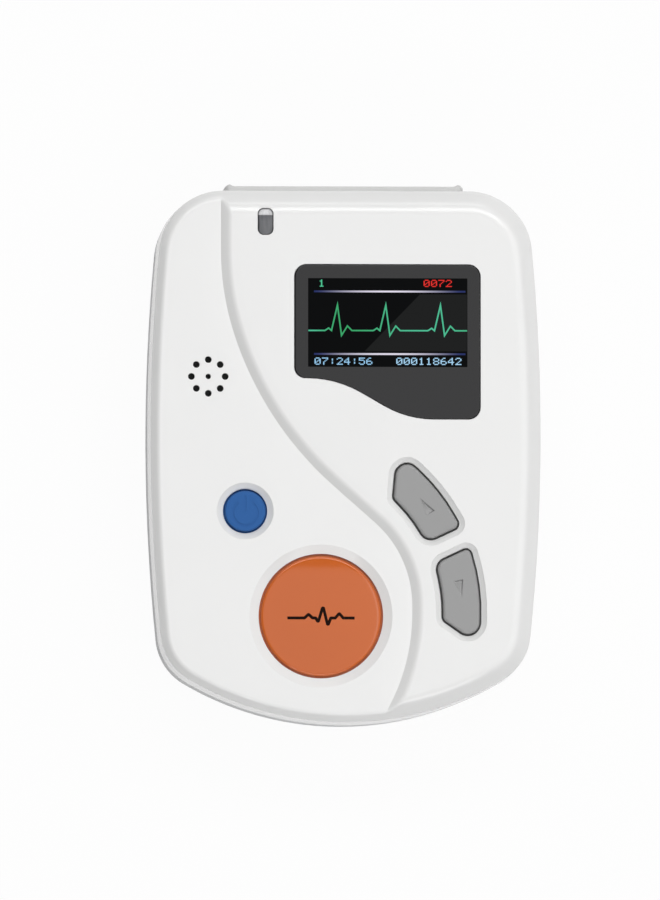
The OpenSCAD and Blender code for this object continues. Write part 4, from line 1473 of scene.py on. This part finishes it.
    def _hook_slots(self) -> list[list[Box]]:
        """The slots for the door's hooks in the bay's side walls, and the notches they leave through."""
        slots: list[Box] = []
        notches: list[Box] = []
        wall, more = self.bay[2], self.cut_margin
        for side in (-1, 1):
            near, far = sorted((side * (wall - more), side * (wall + self.slot_reach)))
            for spot in self.hook_spots:
                low = spot - self.hook_length / 2 - self.travel - self.slot_gap
                high = spot + self.hook_length / 2 + self.slot_gap
                way_out = low + self.hook_length + 2 * self.slot_gap
                roof = self.rail + self.hook_height + 2 * self.slot_gap
                slots.append(((near, low, self.rail - more), (far, high, roof)))
                notches.append(((near, low, self.floor - more), (far, way_out, self.rail)))
        return [slots, notches]


@dataclass
class SocketEnd:
    """The frame of the cable socket that stands out of the top end, with a raised rim at both ends."""

    form: CaseForm
    width: float = 42.0
    height: float = 14.6
    middle: float = 11.3
    proud: float = 1.27
    ear: float = 0.3
    ear_insets: Triple = (1.5, 1.0, 0.7)
    ear_fall: float = 0.45
    recess: Pair = (34.0, 9.0)
    recess_corner: float = 1.5
    sleeve: float = 1.2
    sleeve_length: float = 8.0
    sleeve_corner: float = 0.3
    overlap: float = 0.02
    corners: Pair = (1.0, 2.0)
    corner_step: float = 0.4
    edge: float = 0.2
    mouth: tuple[Pair, ...] = ((0.35, 0.0), (0.1, 0.1), (0.0, 0.35))
    notch_low: Triple = (-18.3, 38.05, 5.5)
    notch_high: Triple = (18.3, 46.9, 17.1)

    def notch(self) -> Box:
        """The box that both shells leave free for the socket's sleeve."""
        return self.notch_low, self.notch_high

    def _section(self, w: float, h: float, high: float, low: float) -> Points:
        """Rounded rectangle in X and Z, with upper and lower corner radii."""
        return rounded_box((-w, -h), (w, h), high, low, turn=9.0) + (0, self.middle)

    def front(self, points: Points) -> np.ndarray:
        """Place of the front along Y: level, with a rim and then a chamfer towards both ends."""
        half = self.width / 2
        foot, crest, chamfer = (half - inset for inset in self.ear_insets)
        steps = (-self.ear, 0, 0, -self.ear_fall)
        rise = np.interp(np.abs(points[:, 0]), (foot, crest, chamfer, half), steps)
        return self.form.top + self.proud + rise

    def build(self) -> bpy.types.Object:
        """Builds the frame with its front up, as reliefs and walls, and lays it down."""
        base, back = self.form.top + self.overlap, self.form.top - self.sleeve_length
        (rw, rh), rc, s = np.array(self.recess) / 2, self.recess_corner, self.sleeve
        border = evened(self._section(self.width / 2, self.height / 2, *self.corners), self.corner_step)
        sleeve = self._section(rw + s, rh + s, self.sleeve_corner, self.sleeve_corner)
        recess = [self._section(rw + grow, rh + grow, rc + grow, rc + grow) for grow, _ in self.mouth]
        plate = self.form.top + self.proud - self.ear
        reach = self.height / 2 - self.corners[1]
        lines = [
            np.array([(side * (self.width / 2 - inset), self.middle + end * reach) for end in (-1, 1)])
            for side in (-1, 1) for inset in self.ear_insets
        ]
        skin = Skin()
        skin.loft([at_height(border, base), *edge_rings(border, self.edge, self.front, 4)])
        crown = shifted(border, -self.edge)
        Relief(crown, self.front, [Terrace(recess[0], None)], lines).add_to(skin)
        lips = [at_height(loop, plate - fall) for loop, (_, fall) in zip(recess, self.mouth)]
        skin.loft([*lips, at_height(recess[-1], back)])
        Relief(sleeve, back, [Terrace(recess[-1], None)]).add_to(skin, flip=True)
        skin.loft([at_height(sleeve, back), at_height(sleeve, base)])
        Relief(border, base, [Terrace(sleeve, None)]).add_to(skin, flip=True)
        making = Making("socket_frame", FRAME_PLASTIC, slot="frame_plastic", stands_for=("end_panel",))
        return making.place(skin.laid())


@dataclass
class BatteryDoor:
    """The door of the battery bay, with its hooks and its thumb grip."""

    rear: RearShell
    recess: float = 0.15
    thickness: float = 1.6
    fit: float = 0.2
    rim: float = 0.02
    groove_half: float = 9.0
    groove_width: float = 0.9
    groove_depth: float = 0.5
    groove_corner: float = 0.4
    groove_rows: tuple[float, ...] = (0.2, 0.35, 0.5, 0.65, 0.8)
    groove_pitch: float = 2.0
    groove_count: int = 5
    first_groove: float = -39.45
    ring_top: float = -30.0
    ring_margin: float = 0.05
    edge_turns: tuple[float, ...] = (18, 30, 42, 52, 60)
    hook_x: float = 14.2
    hook_wall: float = 0.9
    hook_reach: float = 2.2
    hook_bite: Pair = (0.05, 0.1)

    def _groove(self, low: float) -> tuple[Terrace, list[Points]]:
        """One groove of the thumb grip.

        Args:
            low: Where it starts along Y.

        Returns:
            The groove, and lines along it that its triangles follow.
        """
        half, width = self.groove_half, self.groove_width
        middle = low + width / 2

        def hollow(points: Points) -> np.ndarray:
            """A round bottom: a half circle's height over the distance from the middle line."""
            across = np.clip(np.abs(points[:, 1] - middle) / (width / 2), 0, 1)
            return self.recess + self.groove_depth * np.sqrt(1 - across**2)

        loop = rounded_box((-half, low), (half, low + width), self.groove_corner, turn=15)
        rows = low + width * np.array(self.groove_rows)
        return Terrace(loop, hollow), [np.array(((0.5 - half, y), (half - 0.5, y))) for y in rows]

    def _add_hooks(self, skin: Skin, high: float) -> None:
        """Adds the hooks: each has an upright wall and a foot that reaches outwards."""
        rear = self.rear
        lip = rear.rail + rear.slot_gap
        half = rear.hook_length / 2
        parts = (
            (self.hook_wall, high - self.hook_bite[0], lip + self.hook_bite[1]),
            (self.hook_reach, lip, lip + rear.hook_height),
        )
        for side in (-1, 1):
            for y in rear.hook_spots:
                for reach, low, top in parts:
                    x0, x1 = sorted((side * self.hook_x, side * (self.hook_x + reach)))
                    skin.block((x0, y - half, low), (x1, y + half, top))

    def build(self) -> bpy.types.Object:
        """Builds the door: a relief below, a flat top, and hooks."""
        rear, form = self.rear, self.rear.form
        high = self.recess + self.thickness
        half = rear.door_half - self.fit
        strip, low = rear.strip_sides(self.fit)
        end = low[np.abs(low[:, 0]) < half - rear.end_gap]
        ends_y = np.interp((-half, half), end[:, 0], end[:, 1])
        plan = rear.closed_strip(strip, half, end, ends_y)

        def outside(points: Points) -> np.ndarray:
            """The door's outer face, or the casing's rounded edge where that is higher."""
            return np.minimum(np.maximum(rear.edge_height(points), self.recess), high - self.rim)

        starts = self.first_groove + self.groove_pitch * np.arange(self.groove_count)
        grooves = [self._groove(low) for low in starts]
        lines = [line for _, rows in grooves for line in rows]
        for turn in self.edge_turns:
            ring = form.outline(rear.edge_inset(turn))
            ring = ring[inside(ring, shifted(plan, -self.ring_margin)) & (ring[:, 1] < self.ring_top)]
            lines.append(ring[np.argsort(ring[:, 0])])
        skin = Skin()
        Relief(plan, outside, [groove for groove, _ in grooves], lines).add_to(skin, flip=True)
        skin.loft([at_height(plan, outside(plan)), at_height(plan, high)])
        Relief(plan, high).add_to(skin)
        self._add_hooks(skin, high)
        making = Making("bay_door", GREY_SHELL, Body.DOOR, "grey_shell", ("battery_door",))
        return making.place(skin)


# Buttons


@dataclass
class RoundButton:
    """A round cap with a domed top, a rounded edge, a hollow underside and a retaining flange."""

    centre: Pair
    radius: float
    rim: float = 26.7
    dome: float = 0.35
    edge: float = 0.8
    roof: float = 1.4
    skirt: float = 1.1
    stem: float = 2.4
    stem_foot: float = 22.2
    flange: Pair = (24.12, 25.12)
    lug: float = 0.8
    steps: int = 128
    rounding_steps: int = 10
    tip: float = 1e-4
    ring_shares: tuple[float, ...] = (0.97, 0.9, 0.8, 0.68, 0.54, 0.38, 0.2)

    def crown(self, points: Points) -> np.ndarray:
        """Height of the cap's top: a shallow dome that falls with the square of the radius."""
        out = np.linalg.norm(points - self.centre, axis=1) / (self.radius - self.edge)
        return self.rim - self.dome * np.minimum(out, 1) ** 2

    def surface(self, engraving: Sequence[Terrace] = ()) -> Skin:
        """Builds the cap: a profile turned round the axis, and a relief for the crown.

        Args:
            engraving: What is sunk into the crown.

        Returns:
            The cap's surface.
        """
        r, e = self.radius, self.edge
        last = math.pi / 2 - math.atan(2 * self.dome / (r - e))
        turns = np.linspace(0, last, self.rounding_steps)
        radii = r - e * (1 - np.cos(turns)) / (1 - math.cos(last))
        rounding = np.column_stack((radii, self.rim - self.dome - e * (1 - np.sin(turns) / math.sin(last))))
        low, high = self.flange
        roof = self.rim - self.roof
        bore, lug = r - self.skirt, r + self.lug
        profile = [
            (self.tip, self.stem_foot), (self.stem, self.stem_foot), (self.stem, roof),
            (bore, roof), (bore, low), (lug, low), (lug, high), (r, high), *rounding,
        ]
        skin = revolve(Skin(), self.centre, profile, self.steps)
        rim = rounding[-1][0]
        rings = [circle(self.centre, rim * share, self.steps) for share in self.ring_shares]
        return Relief(circle(self.centre, rim, self.steps), self.crown, engraving, loops=rings).add_to(skin)


@dataclass
class EventButton:
    """The large orange button and the pulse line printed on it."""

    features: FaceFeatures
    stroke: float = 0.52
    trace: tuple[Pair, ...] = (
        (-5.9, -0.35), (-2.9, -0.35), (-2.2, 0.3), (-1.5, -0.35), (-0.95, -0.35), (-0.5, -1.1),
        (0.35, 1.75), (1.2, -1.75), (1.7, -0.35), (2.5, -0.35), (3.2, 0.45), (3.9, -0.35), (5.9, -0.35),
    )
    trace_corner: float = 0.12
    trace_step: float = 0.4
    raised: tuple[float, ...] = (0.002, 0.012, 0.015, 0.012, 0.002)
    sunk: float = 0.02

    def build(self) -> bpy.types.Object:
        """Builds the cap, and the printed line as a low ridge that is carried along its path."""
        f = self.features
        cap = RoundButton(f.mark, f.mark_radius, dome=0.53, edge=0.5, stem_foot=22.22)
        making = Making("event_button", ORANGE_CAP, Body.MARK, "orange_button", ("mark_button",))
        making.place(cap.surface())
        corners = [(x, y, self.trace_corner) for x, y in self.trace]
        path = np.asarray(f.mark) + rounded(corners, closed=False, turn=20)
        path = evened(path, self.trace_step, closed=False)
        half = self.stroke / 2
        rows = [shifted(path, d, closed=False) for d in np.linspace(-half, half, len(self.raised))]
        rings = [at_height(row, cap.crown(row) + z) for row, z in zip(rows, self.raised)]
        middle = rows[len(rows) // 2]
        rings.append(at_height(middle, cap.crown(middle) - self.sunk))
        skin = Skin().loft(np.array(rings).transpose(1, 0, 2), caps=True)
        return Making("pulse_mark", ORANGE_MARK, Body.MARK).place(skin)


@dataclass
class PowerButton:
    """The blue button with an engraved ring and bar."""

    features: FaceFeatures
    ring: float = 2.16
    drop: float = 0.35
    line: float = 0.36
    opening: float = 70.0
    bow_steps: int = 60
    bar: Pair = (0.0, 2.6)
    depth: float = 0.12
    stem: float = 1.5975

    def build(self) -> bpy.types.Object:
        """Builds the cap with its engraving."""
        f = self.features
        cap = RoundButton(f.power, f.power_radius, dome=0.05, edge=0.3, stem=self.stem)
        x, y = f.power
        first, last = 90 + self.opening / 2, 450 - self.opening / 2
        bow = arc((x, y - self.drop), self.ring, first, last, self.bow_steps)
        bar = np.array([(x, y + end) for end in self.bar])

        def sunk(points: Points) -> np.ndarray:
            """The crown, lower by the engraving's depth."""
            return cap.crown(points) - self.depth

        engraving = [Terrace(ribbon(path, self.line), sunk) for path in (bow, bar)]
        hidden = ("power_button",)
        making = Making("power_button_cap", BLUE_CAP, Body.POWER, "blue_button", hidden, sharp=30)
        return making.place(cap.surface(engraving))


@dataclass
class ArrowKey:
    """A grey key that follows its outline, with an engraved arrow."""

    name: str
    node: str
    body: Body
    corners: tuple[Corner, ...]
    stem: Pair
    arrow: tuple[Pair, ...]
    features: FaceFeatures
    top: float = 28.05
    edge: float = 0.4
    flange: Pair = (24.12, 25.12)
    lug: float = 0.6
    stem_foot: float = 22.2
    stem_radius: float = 2.0
    stem_steps: int = 40
    edge_steps: int = 6
    depth: float = 0.45
    slope: float = 0.22
    tilt: Pair = (0.45, 0.28)
    middle_share: float = 0.55
    least_share: float = 0.2
    crown_margin: float = 0.06

    def engraved(self, points: Points) -> np.ndarray:
        """Height in the arrow: it falls from the border to a tilted bottom.

        The bottom's share of the depth rises evenly along the tilt, to the upper right.
        """
        arrow = np.array(self.arrow)
        rise = (points - arrow.mean(axis=0)) @ np.array(self.tilt)
        share = np.clip(self.middle_share + rise, self.least_share, 1)
        return self.top - self.depth * share * np.clip(distance(points, arrow) / self.slope, 0, 1)

    def build(self) -> bpy.types.Object:
        """Builds the key: its profile carried round the outline, closed by a relief on top."""
        hole = rounded(self.corners)
        edge = shifted(hole, -self.features.key_gap[1])
        low, high = self.flange
        flange = shifted(hole, self.lug)
        base = [at_height(flange, low), at_height(flange, high), at_height(edge, high)]
        skin = Skin().loft([*base, *edge_rings(edge, self.edge, self.top, self.edge_steps)])
        crown = shifted(edge, -self.edge)
        arrow = np.array(self.arrow, float)
        level = [shifted(arrow, -self.slope), shifted(crown, -self.crown_margin)]
        Relief(crown, self.top, [Terrace(arrow, self.engraved)], loops=level).add_to(skin)
        stem = circle(self.stem, self.stem_radius, self.stem_steps)
        Relief(flange, low, [Terrace(stem, self.stem_foot)]).add_to(skin, flip=True)
        making = Making(self.name, GREY_KEY, self.body, "grey_key", (self.node,), sharp=30)
        return making.place(skin)


# Display


class Glyphs(Enum):
    """Digits and a colon as seven rows of five dots, the top row first, a dot for each bit."""

    ZERO = ("0", (14, 17, 19, 21, 25, 17, 14))
    ONE = ("1", (4, 12, 4, 4, 4, 4, 14))
    TWO = ("2", (14, 17, 1, 2, 4, 8, 31))
    THREE = ("3", (31, 2, 4, 2, 1, 17, 14))
    FOUR = ("4", (2, 6, 10, 18, 31, 2, 2))
    FIVE = ("5", (31, 16, 30, 1, 1, 17, 14))
    SIX = ("6", (6, 8, 16, 30, 17, 17, 14))
    SEVEN = ("7", (31, 1, 2, 4, 8, 8, 8))
    EIGHT = ("8", (14, 17, 17, 14, 17, 17, 14))
    NINE = ("9", (14, 17, 17, 15, 1, 2, 12))
    COLON = (":", (0, 4, 4, 0, 4, 4, 0))

    @classmethod
    def dots(cls, text: str) -> Points:
        """Columns and rows of the lit dots of a text, counted from its lower left."""
        table = {glyph.value[0]: glyph.value[1] for glyph in cls}
        cells = np.array([[[row >> (4 - k) & 1 for k in range(5)] for row in table[c]] for c in text])
        letter, row, column = np.nonzero(cells)
        return np.column_stack((letter * 6 + column, 6 - row)).astype(float)


@dataclass
class DisplayWindow:
    """The window over the display, and the picture that shows in it."""

    form: CaseForm
    features: FaceFeatures
    sink: float = 0.05
    screen: tuple[float, float, float, float] = (-6.73, 15.08, 21.25, 30.66)
    line_x: Pair = (-5.7, 20.9)
    line_rows: Pair = (28.33, 17.34)
    line_width: float = 0.32
    trace_width: float = 0.26
    baseline: float = 21.46
    trace_end: float = 0.05
    trace_margin: float = 0.3
    least_step: float = 0.05
    beats: tuple[float, ...] = (-1.58, 6.91, 16.51)
    beat: tuple[Pair, ...] = (
        (-3.4, 0), (-2.2, 0), (-1.55, 0.42), (-1.05, 0), (0, 4.45), (0.72, -0.85),
        (1.75, 0.8), (2.55, 0), (3.4, 0),
    )
    dot: Pair = (0.216, 0.18)
    dot_gap: float = 0.002
    plate: float = 0.02
    edge: float = 0.18
    edge_margin: float = 0.04
    foot_lift: float = 0.001
    screen_corner: float = 0.1
    # where the painted sheen patch slants, and how far it keeps from the screen's edges
    painted_sheen_feet: Pair = (3.2, 12.9)
    painted_sheen_margin: Pair = (0.1, 0.5)
    numbers: tuple[tuple[str, Finish, str, Pair], ...] = (
        ("lead_number", DIGIT_GREEN, "1", (-4.9, 29.15)),
        ("rate_number", DIGIT_RED, "0072", (13.55, 29.15)),
        ("clock_digits", DIGIT_BLUE, "07:24:56", (-5.6, 15.45)),
        ("count_digits", DIGIT_PALE_BLUE, "000118642", (8.75, 15.45)),
    )
    levels: tuple[float, ...] = (0.004, 0.008, 0.012, 0.016, 0.022)

    def __post_init__(self) -> None:
        """Finds the level of the window's top."""
        self.top = self.form.face - self.sink

    def _flat(self, name: str, finish: Finish, loops: Sequence[Points], layer: int) -> bpy.types.Object:
        """Makes thin plates.

        Args:
            name: The piece's name.
            finish: Its finish.
            loops: The plates' outlines.
            layer: Which of the levels over the window their tops lie at.

        Returns:
            The piece.
        """
        skin = Skin()
        top = self.top + self.levels[layer]
        for loop in loops:
            skin.loft([at_height(loop, top - self.plate), at_height(loop, top)])
            Relief(loop, top).add_to(skin)
            Relief(loop, top - self.plate).add_to(skin, flip=True)
        return Making(name, finish).place(skin)

    def _dots(self, name: str, finish: Finish, text: str, corner: Pair) -> bpy.types.Object:
        """Makes a text of plain digits, one small raised square for each dot.

        Args:
            name: The piece's name.
            finish: Its finish.
            text: Digits and colons.
            corner: The text's lower left corner.

        Returns:
            The piece.
        """
        width, height = self.dot
        low = np.asarray(corner) + Glyphs.dots(text) * (width, height)
        plan = low[:, None] + rectangle(0, 0, width - self.dot_gap, height - self.dot_gap)
        top = self.top + self.levels[-1]
        rings = [np.insert(plan, 2, level, axis=2) for level in (top - self.plate, top)]
        points = np.concatenate(rings, 1).reshape(-1, 3)
        sides = [(k, (k + 1) % 4, (k + 1) % 4 + 4, k + 4) for k in range(4)]
        cube = np.array([(0, 3, 2, 1), (4, 5, 6, 7), *sides])
        faces = (np.arange(len(low))[:, None, None] * 8 + cube).reshape(-1, 4)
        return Making(name, finish).place(Skin().add(points, faces))

    def _trace(self) -> Points:
        """The pulse line: a small hump, a tall spike, a dip and a round hump at each beat."""
        points = np.concatenate([np.array(self.beat) + (x, self.baseline) for x in self.beats])
        x0, _, x1, _ = self.screen
        low, high = x0 + self.trace_margin, x1 - self.trace_margin
        inner = points[(points[:, 0] > low) & (points[:, 0] < high)]
        inner = inner[np.concatenate(([True], np.diff(inner[:, 0]) > self.least_step))]
        first, last = [(x0 + self.trace_end, self.baseline)], [(x1 - self.trace_end, self.baseline)]
        return np.vstack((first, inner, last))

    def _pane(self) -> None:
        """Builds the window: an upright wall, a rounded edge and a flat top."""
        loop, foot = self.features.window(), self.form.face - self.features.window_depth + self.foot_lift
        skin = Skin().loft([at_height(loop, foot), *edge_rings(loop, self.edge, self.top, 5)])
        crown = shifted(loop, -self.edge)
        Relief(crown, self.top, loops=[shifted(loop, -self.edge - self.edge_margin)]).add_to(skin)
        Relief(loop, foot).add_to(skin, flip=True)
        hidden = ("display_window",)
        Making("window_pane", WINDOW_PRINT, slot="window", stands_for=hidden, sharp=35).place(skin)

    def build(self) -> None:
        """Builds the window and the picture's parts."""
        self._pane()
        x0, y0, x1, y1 = self.screen
        ground = rounded_box((x0, y0), (x1, y1), self.screen_corner, turn=30)
        self._flat("screen_ground", SCREEN_BLACK, [ground], 0)
        (low_x, high_x), (high_y, low_y) = self.line_x, self.line_rows
        # a painted reflection: a slanted sheen patch, drawn as a faintly glowing plate over the screen
        (foot_x, head_x), (side, end) = self.painted_sheen_feet, self.painted_sheen_margin
        right, low, high = x1 - side, low_y + end, high_y - end
        sheen = np.array([(foot_x, low), (right, low), (right, high), (head_x, high)])
        self._flat("painted_screen_sheen", SCREEN_PAINTED_SHEEN, [sheen], 1)
        half = self.line_width / 2
        bars = [rectangle(low_x, y - half, high_x, y + half) for y in (high_y, low_y)]
        self._flat("screen_bars", BAR_LIGHT, bars, 2)
        self._flat("pulse_trace", TRACE_GREEN, [ribbon(self._trace(), self.trace_width)], 3)
        for name, finish, text, corner in self.numbers:
            self._dots(name, finish, text, corner)


@dataclass
class StatusWindow:
    """The smoked light guide at the top edge, which bends down with the bevel."""

    form: CaseForm
    features: FaceFeatures
    foot: float = 21.0
    sink: float = 0.05
    bend: float = 41.7
    fall: float = 0.26
    edge: float = 0.2
    bend_rows: tuple[float, ...] = (0, 0.3, 0.6, 0.9)
    bend_samples: int = 40
    bend_margin: float = 0.04
    wall_step: float = 0.25

    def top(self, points: Points) -> np.ndarray:
        """Height of the top: level up to the bend, then falling evenly, and never over the face."""
        level = self.form.face - self.sink - self.fall * np.maximum(points[:, 1] - self.bend, 0)
        return np.minimum(level, self.form.face_height(points) - self.sink)

    def build(self) -> bpy.types.Object:
        """Builds the guide: an upright wall, a rounded edge and the bent top."""
        slot = evened(self.features.status_slot(0.0), self.wall_step)
        skin = Skin().loft([at_height(slot, self.foot), *edge_rings(slot, self.edge, self.top, 4)])
        crown = shifted(slot, -self.edge)
        (x, _), (width, _) = self.features.status, self.features.status_size
        span = x + np.linspace(-width / 2, width / 2, self.bend_samples)
        across = [np.column_stack((span, np.full(len(span), self.bend + row))) for row in self.bend_rows]
        middle = shifted(crown, -self.bend_margin)
        Relief(crown, self.top, lines=[row[inside(row, middle)] for row in across]).add_to(skin)
        Relief(slot, self.foot).add_to(skin, flip=True)
        hidden = ("status_window",)
        making = Making("status_light", STATUS_SMOKE, slot="smoked_window", stands_for=hidden, sharp=40)
        return making.place(skin)


# Carried-over inner pieces


@dataclass
class InnerPieces:
    """The model's own nodes that keep their shape and get a finish."""

    finishes: dict[Finish, tuple[str, ...]] = field(default_factory=lambda: {
        SEAL_RUBBER: ("case_gasket", "speaker_seal"),
        BLACK_PLASTIC: (
            "patient_cable_socket", "speaker", "mark_switch", "power_switch", "up_switch", "down_switch",
            "processor_chip", "memory_chip",
        ),
        CONTACT_GOLD: ("socket_contacts", "battery_plates"),
        MESH_BLACK: ("speaker_mesh",),
        IVORY_PLASTIC: (
            "mark_plunger", "power_plunger", "up_plunger", "down_plunger",
            "board_connector", "display_frame",
        ),
        MAIN_GREEN: ("main_board",),
        FRONT_END_BLUE: ("front_end_board",),
        DISPLAY_GLASS: ("display_panel",),
        RIBBON_AMBER: ("display_ribbon",),
        LENS_CLEAR: ("status_led",),
        STEEL: ("backup_cell", "shield_can", "battery_springs", "case_screws", "board_screws"),
        CELL_UP: ("aa_cell_1",),
        CELL_DOWN: ("aa_cell_2",),
    })

    def dress(self, nodes: dict[str, bpy.types.Object]) -> None:
        """Puts each finish on its nodes."""
        for finish, names in self.finishes.items():
            for name in names:
                mesh = nodes[name].data
                mesh.materials.clear()
                mesh.materials.append(finish.material())
                log.info("%s: %s", name, finish.name)


# Studio


RAYS = ("Camera", "Glossy", "Transmission")


@dataclass(frozen=True)
class Lamp:
    """A soft box: where it hangs, its size and radiance, and the direction of its back."""

    name: str
    place: Triple
    size: Pair
    radiance: float
    facing: Triple | None = None


@dataclass
class Studio:
    """Camera, floor, lamps and world."""

    aim: Triple = (-2.89, 0.47, 28.0)
    lean: Pair = (-0.047, -0.047)
    away: float = 3.0
    frame: Pair = (115.7, 157.8)
    sensor: float = 36.0
    farthest: float = 20.0
    fill: float = 0.02
    glow: float = 0.12
    white: float = 0.95
    paper: float = 0.6
    floor_reach: float = 3.0
    floor_drop: float = 0.2
    lamps: tuple[Lamp, ...] = (
        Lamp("overhead_box", (0.0, -0.13, 1.5), (0.95, 0.87), 1.25, (0, 0, 1)),
        Lamp("rear_box", (0.0, 0.82, 1.4), (1.4, 0.4), 6.2),
        Lamp("rear_low_box", (0.0, 1.6, 0.7), (1.4, 0.5), 2.6),
        Lamp("right_box", (0.9, 0.1, 1.35), (1.8, 1.1), 1.6),
        Lamp("near_box", (0.0, -1.15, 1.2), (1.4, 0.4), 5.8),
    )

    def camera(self) -> None:
        """Adds a long lens that looks almost straight down, from the lower left."""
        data = bpy.data.cameras.new("camera")
        data.sensor_fit, data.sensor_width, data.sensor_height = "AUTO", self.sensor, self.sensor
        data.lens = self.sensor * self.away / (self.frame[1] * MM)
        data.clip_end = self.farthest
        eye = bpy.data.objects.new("camera", data)
        aim = Vector(self.aim) * MM
        back = Vector((*self.lean, 1)).normalized()
        right = Vector((0, 1, 0)).cross(back).normalized()
        up = back.cross(right)
        turn = Matrix((right, up, back)).transposed().to_4x4()
        eye.matrix_world = Matrix.Translation(aim + back * self.away) @ turn
        bpy.context.scene.collection.objects.link(eye)
        bpy.context.scene.camera = eye

    def hang(self, lamp: Lamp) -> None:
        """Hangs a soft box that the camera doesn't see."""
        data = bpy.data.lights.new(lamp.name, "AREA")
        data.shape, data.size, data.size_y = "RECTANGLE", *lamp.size
        data.energy = lamp.radiance * math.pi * lamp.size[0] * lamp.size[1]
        box = bpy.data.objects.new(lamp.name, data)
        facing = Vector(lamp.facing or lamp.place)
        turn = facing.to_track_quat("Z", "Y").to_matrix().to_4x4()
        box.matrix_world = Matrix.Translation(lamp.place) @ turn
        box.visible_camera = False
        bpy.context.scene.collection.objects.link(box)

    def floor(self) -> None:
        """Adds a pale floor that looks white to the camera and keeps the recorder's shadow."""
        mesh = bpy.data.meshes.new("floor")
        reach = self.floor_reach
        corners = at_height(rectangle(-reach, -reach, reach, reach), -self.floor_drop * MM)
        mesh.from_pydata(corners.tolist(), [], [(0, 1, 2, 3)])
        plane = bpy.data.objects.new("floor", mesh)
        bpy.context.scene.collection.objects.link(plane)
        graph = Graph("pale floor")
        paper = graph.node("ShaderNodeBsdfDiffuse", inputs={"Color": shade((self.paper,) * 3, 1.0)})
        glow = graph.node("ShaderNodeEmission", inputs={"Color": (1, 1, 1, 1), "Strength": self.glow})
        table = graph.node("ShaderNodeAddShader", inputs={0: paper.outputs[0], 1: glow.outputs[0]})
        white = graph.node("ShaderNodeEmission", inputs={"Color": (1, 1, 1, 1), "Strength": 1.0})
        rays = graph.node("ShaderNodeLightPath").outputs
        camera, glossy, clear = (Value(graph, rays[f"Is {kind} Ray"]) for kind in RAYS)
        seen = (camera + glossy + clear) * self.white
        inputs = {0: seen, 1: table.outputs[0], 2: white.outputs[0]}
        mixed = graph.node("ShaderNodeMixShader", inputs=inputs)
        graph.feed(graph.output.inputs["Surface"], mixed.outputs[0])
        mesh.materials.append(graph.material)

    def world(self, level: float) -> None:
        """Fills the surroundings with even light."""
        world = bpy.data.worlds.new("studio")
        bpy.context.scene.world = world
        world.use_nodes = True
        background = world.node_tree.nodes["Background"]
        background.inputs[0].default_value = (1, 1, 1, 1)
        background.inputs[1].default_value = level

    def build(self) -> None:
        """Sets up the whole studio."""
        self.camera()
        self.floor()
        self.world(self.fill)
        for lamp in self.lamps:
            self.hang(lamp)
        bpy.context.scene.view_settings.view_transform = "Standard"


def build_recorder(nodes: dict[str, bpy.types.Object]) -> None:
    """Builds every visible piece and dresses the model's own nodes."""
    form, features = CaseForm(), FaceFeatures()
    FrontShell(form, features).build()
    rear = RearShell(form)
    rear.build()
    SocketEnd(form).build()
    BatteryDoor(rear).build()
    EventButton(features).build()
    PowerButton(features).build()
    f = features
    for key in (
        ("up_arrow_key", "up_key", Body.UP, f.up_corners, f.up_stem, f.up_arrow),
        ("down_arrow_key", "down_key", Body.DOWN, f.down_corners, f.down_stem, f.down_arrow),
    ):
        ArrowKey(*key, features).build()
    DisplayWindow(form, features).build()
    StatusWindow(form, features).build()
    InnerPieces().dress(nodes)


def main() -> None:
    """Loads the model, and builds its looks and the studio."""
    logging.basicConfig(level=logging.INFO, format="%(message)s", stream=sys.stdout)
    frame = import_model()
    build_recorder(frame["nodes"])
    Studio().build()


if __name__ == "__main__":
    main()
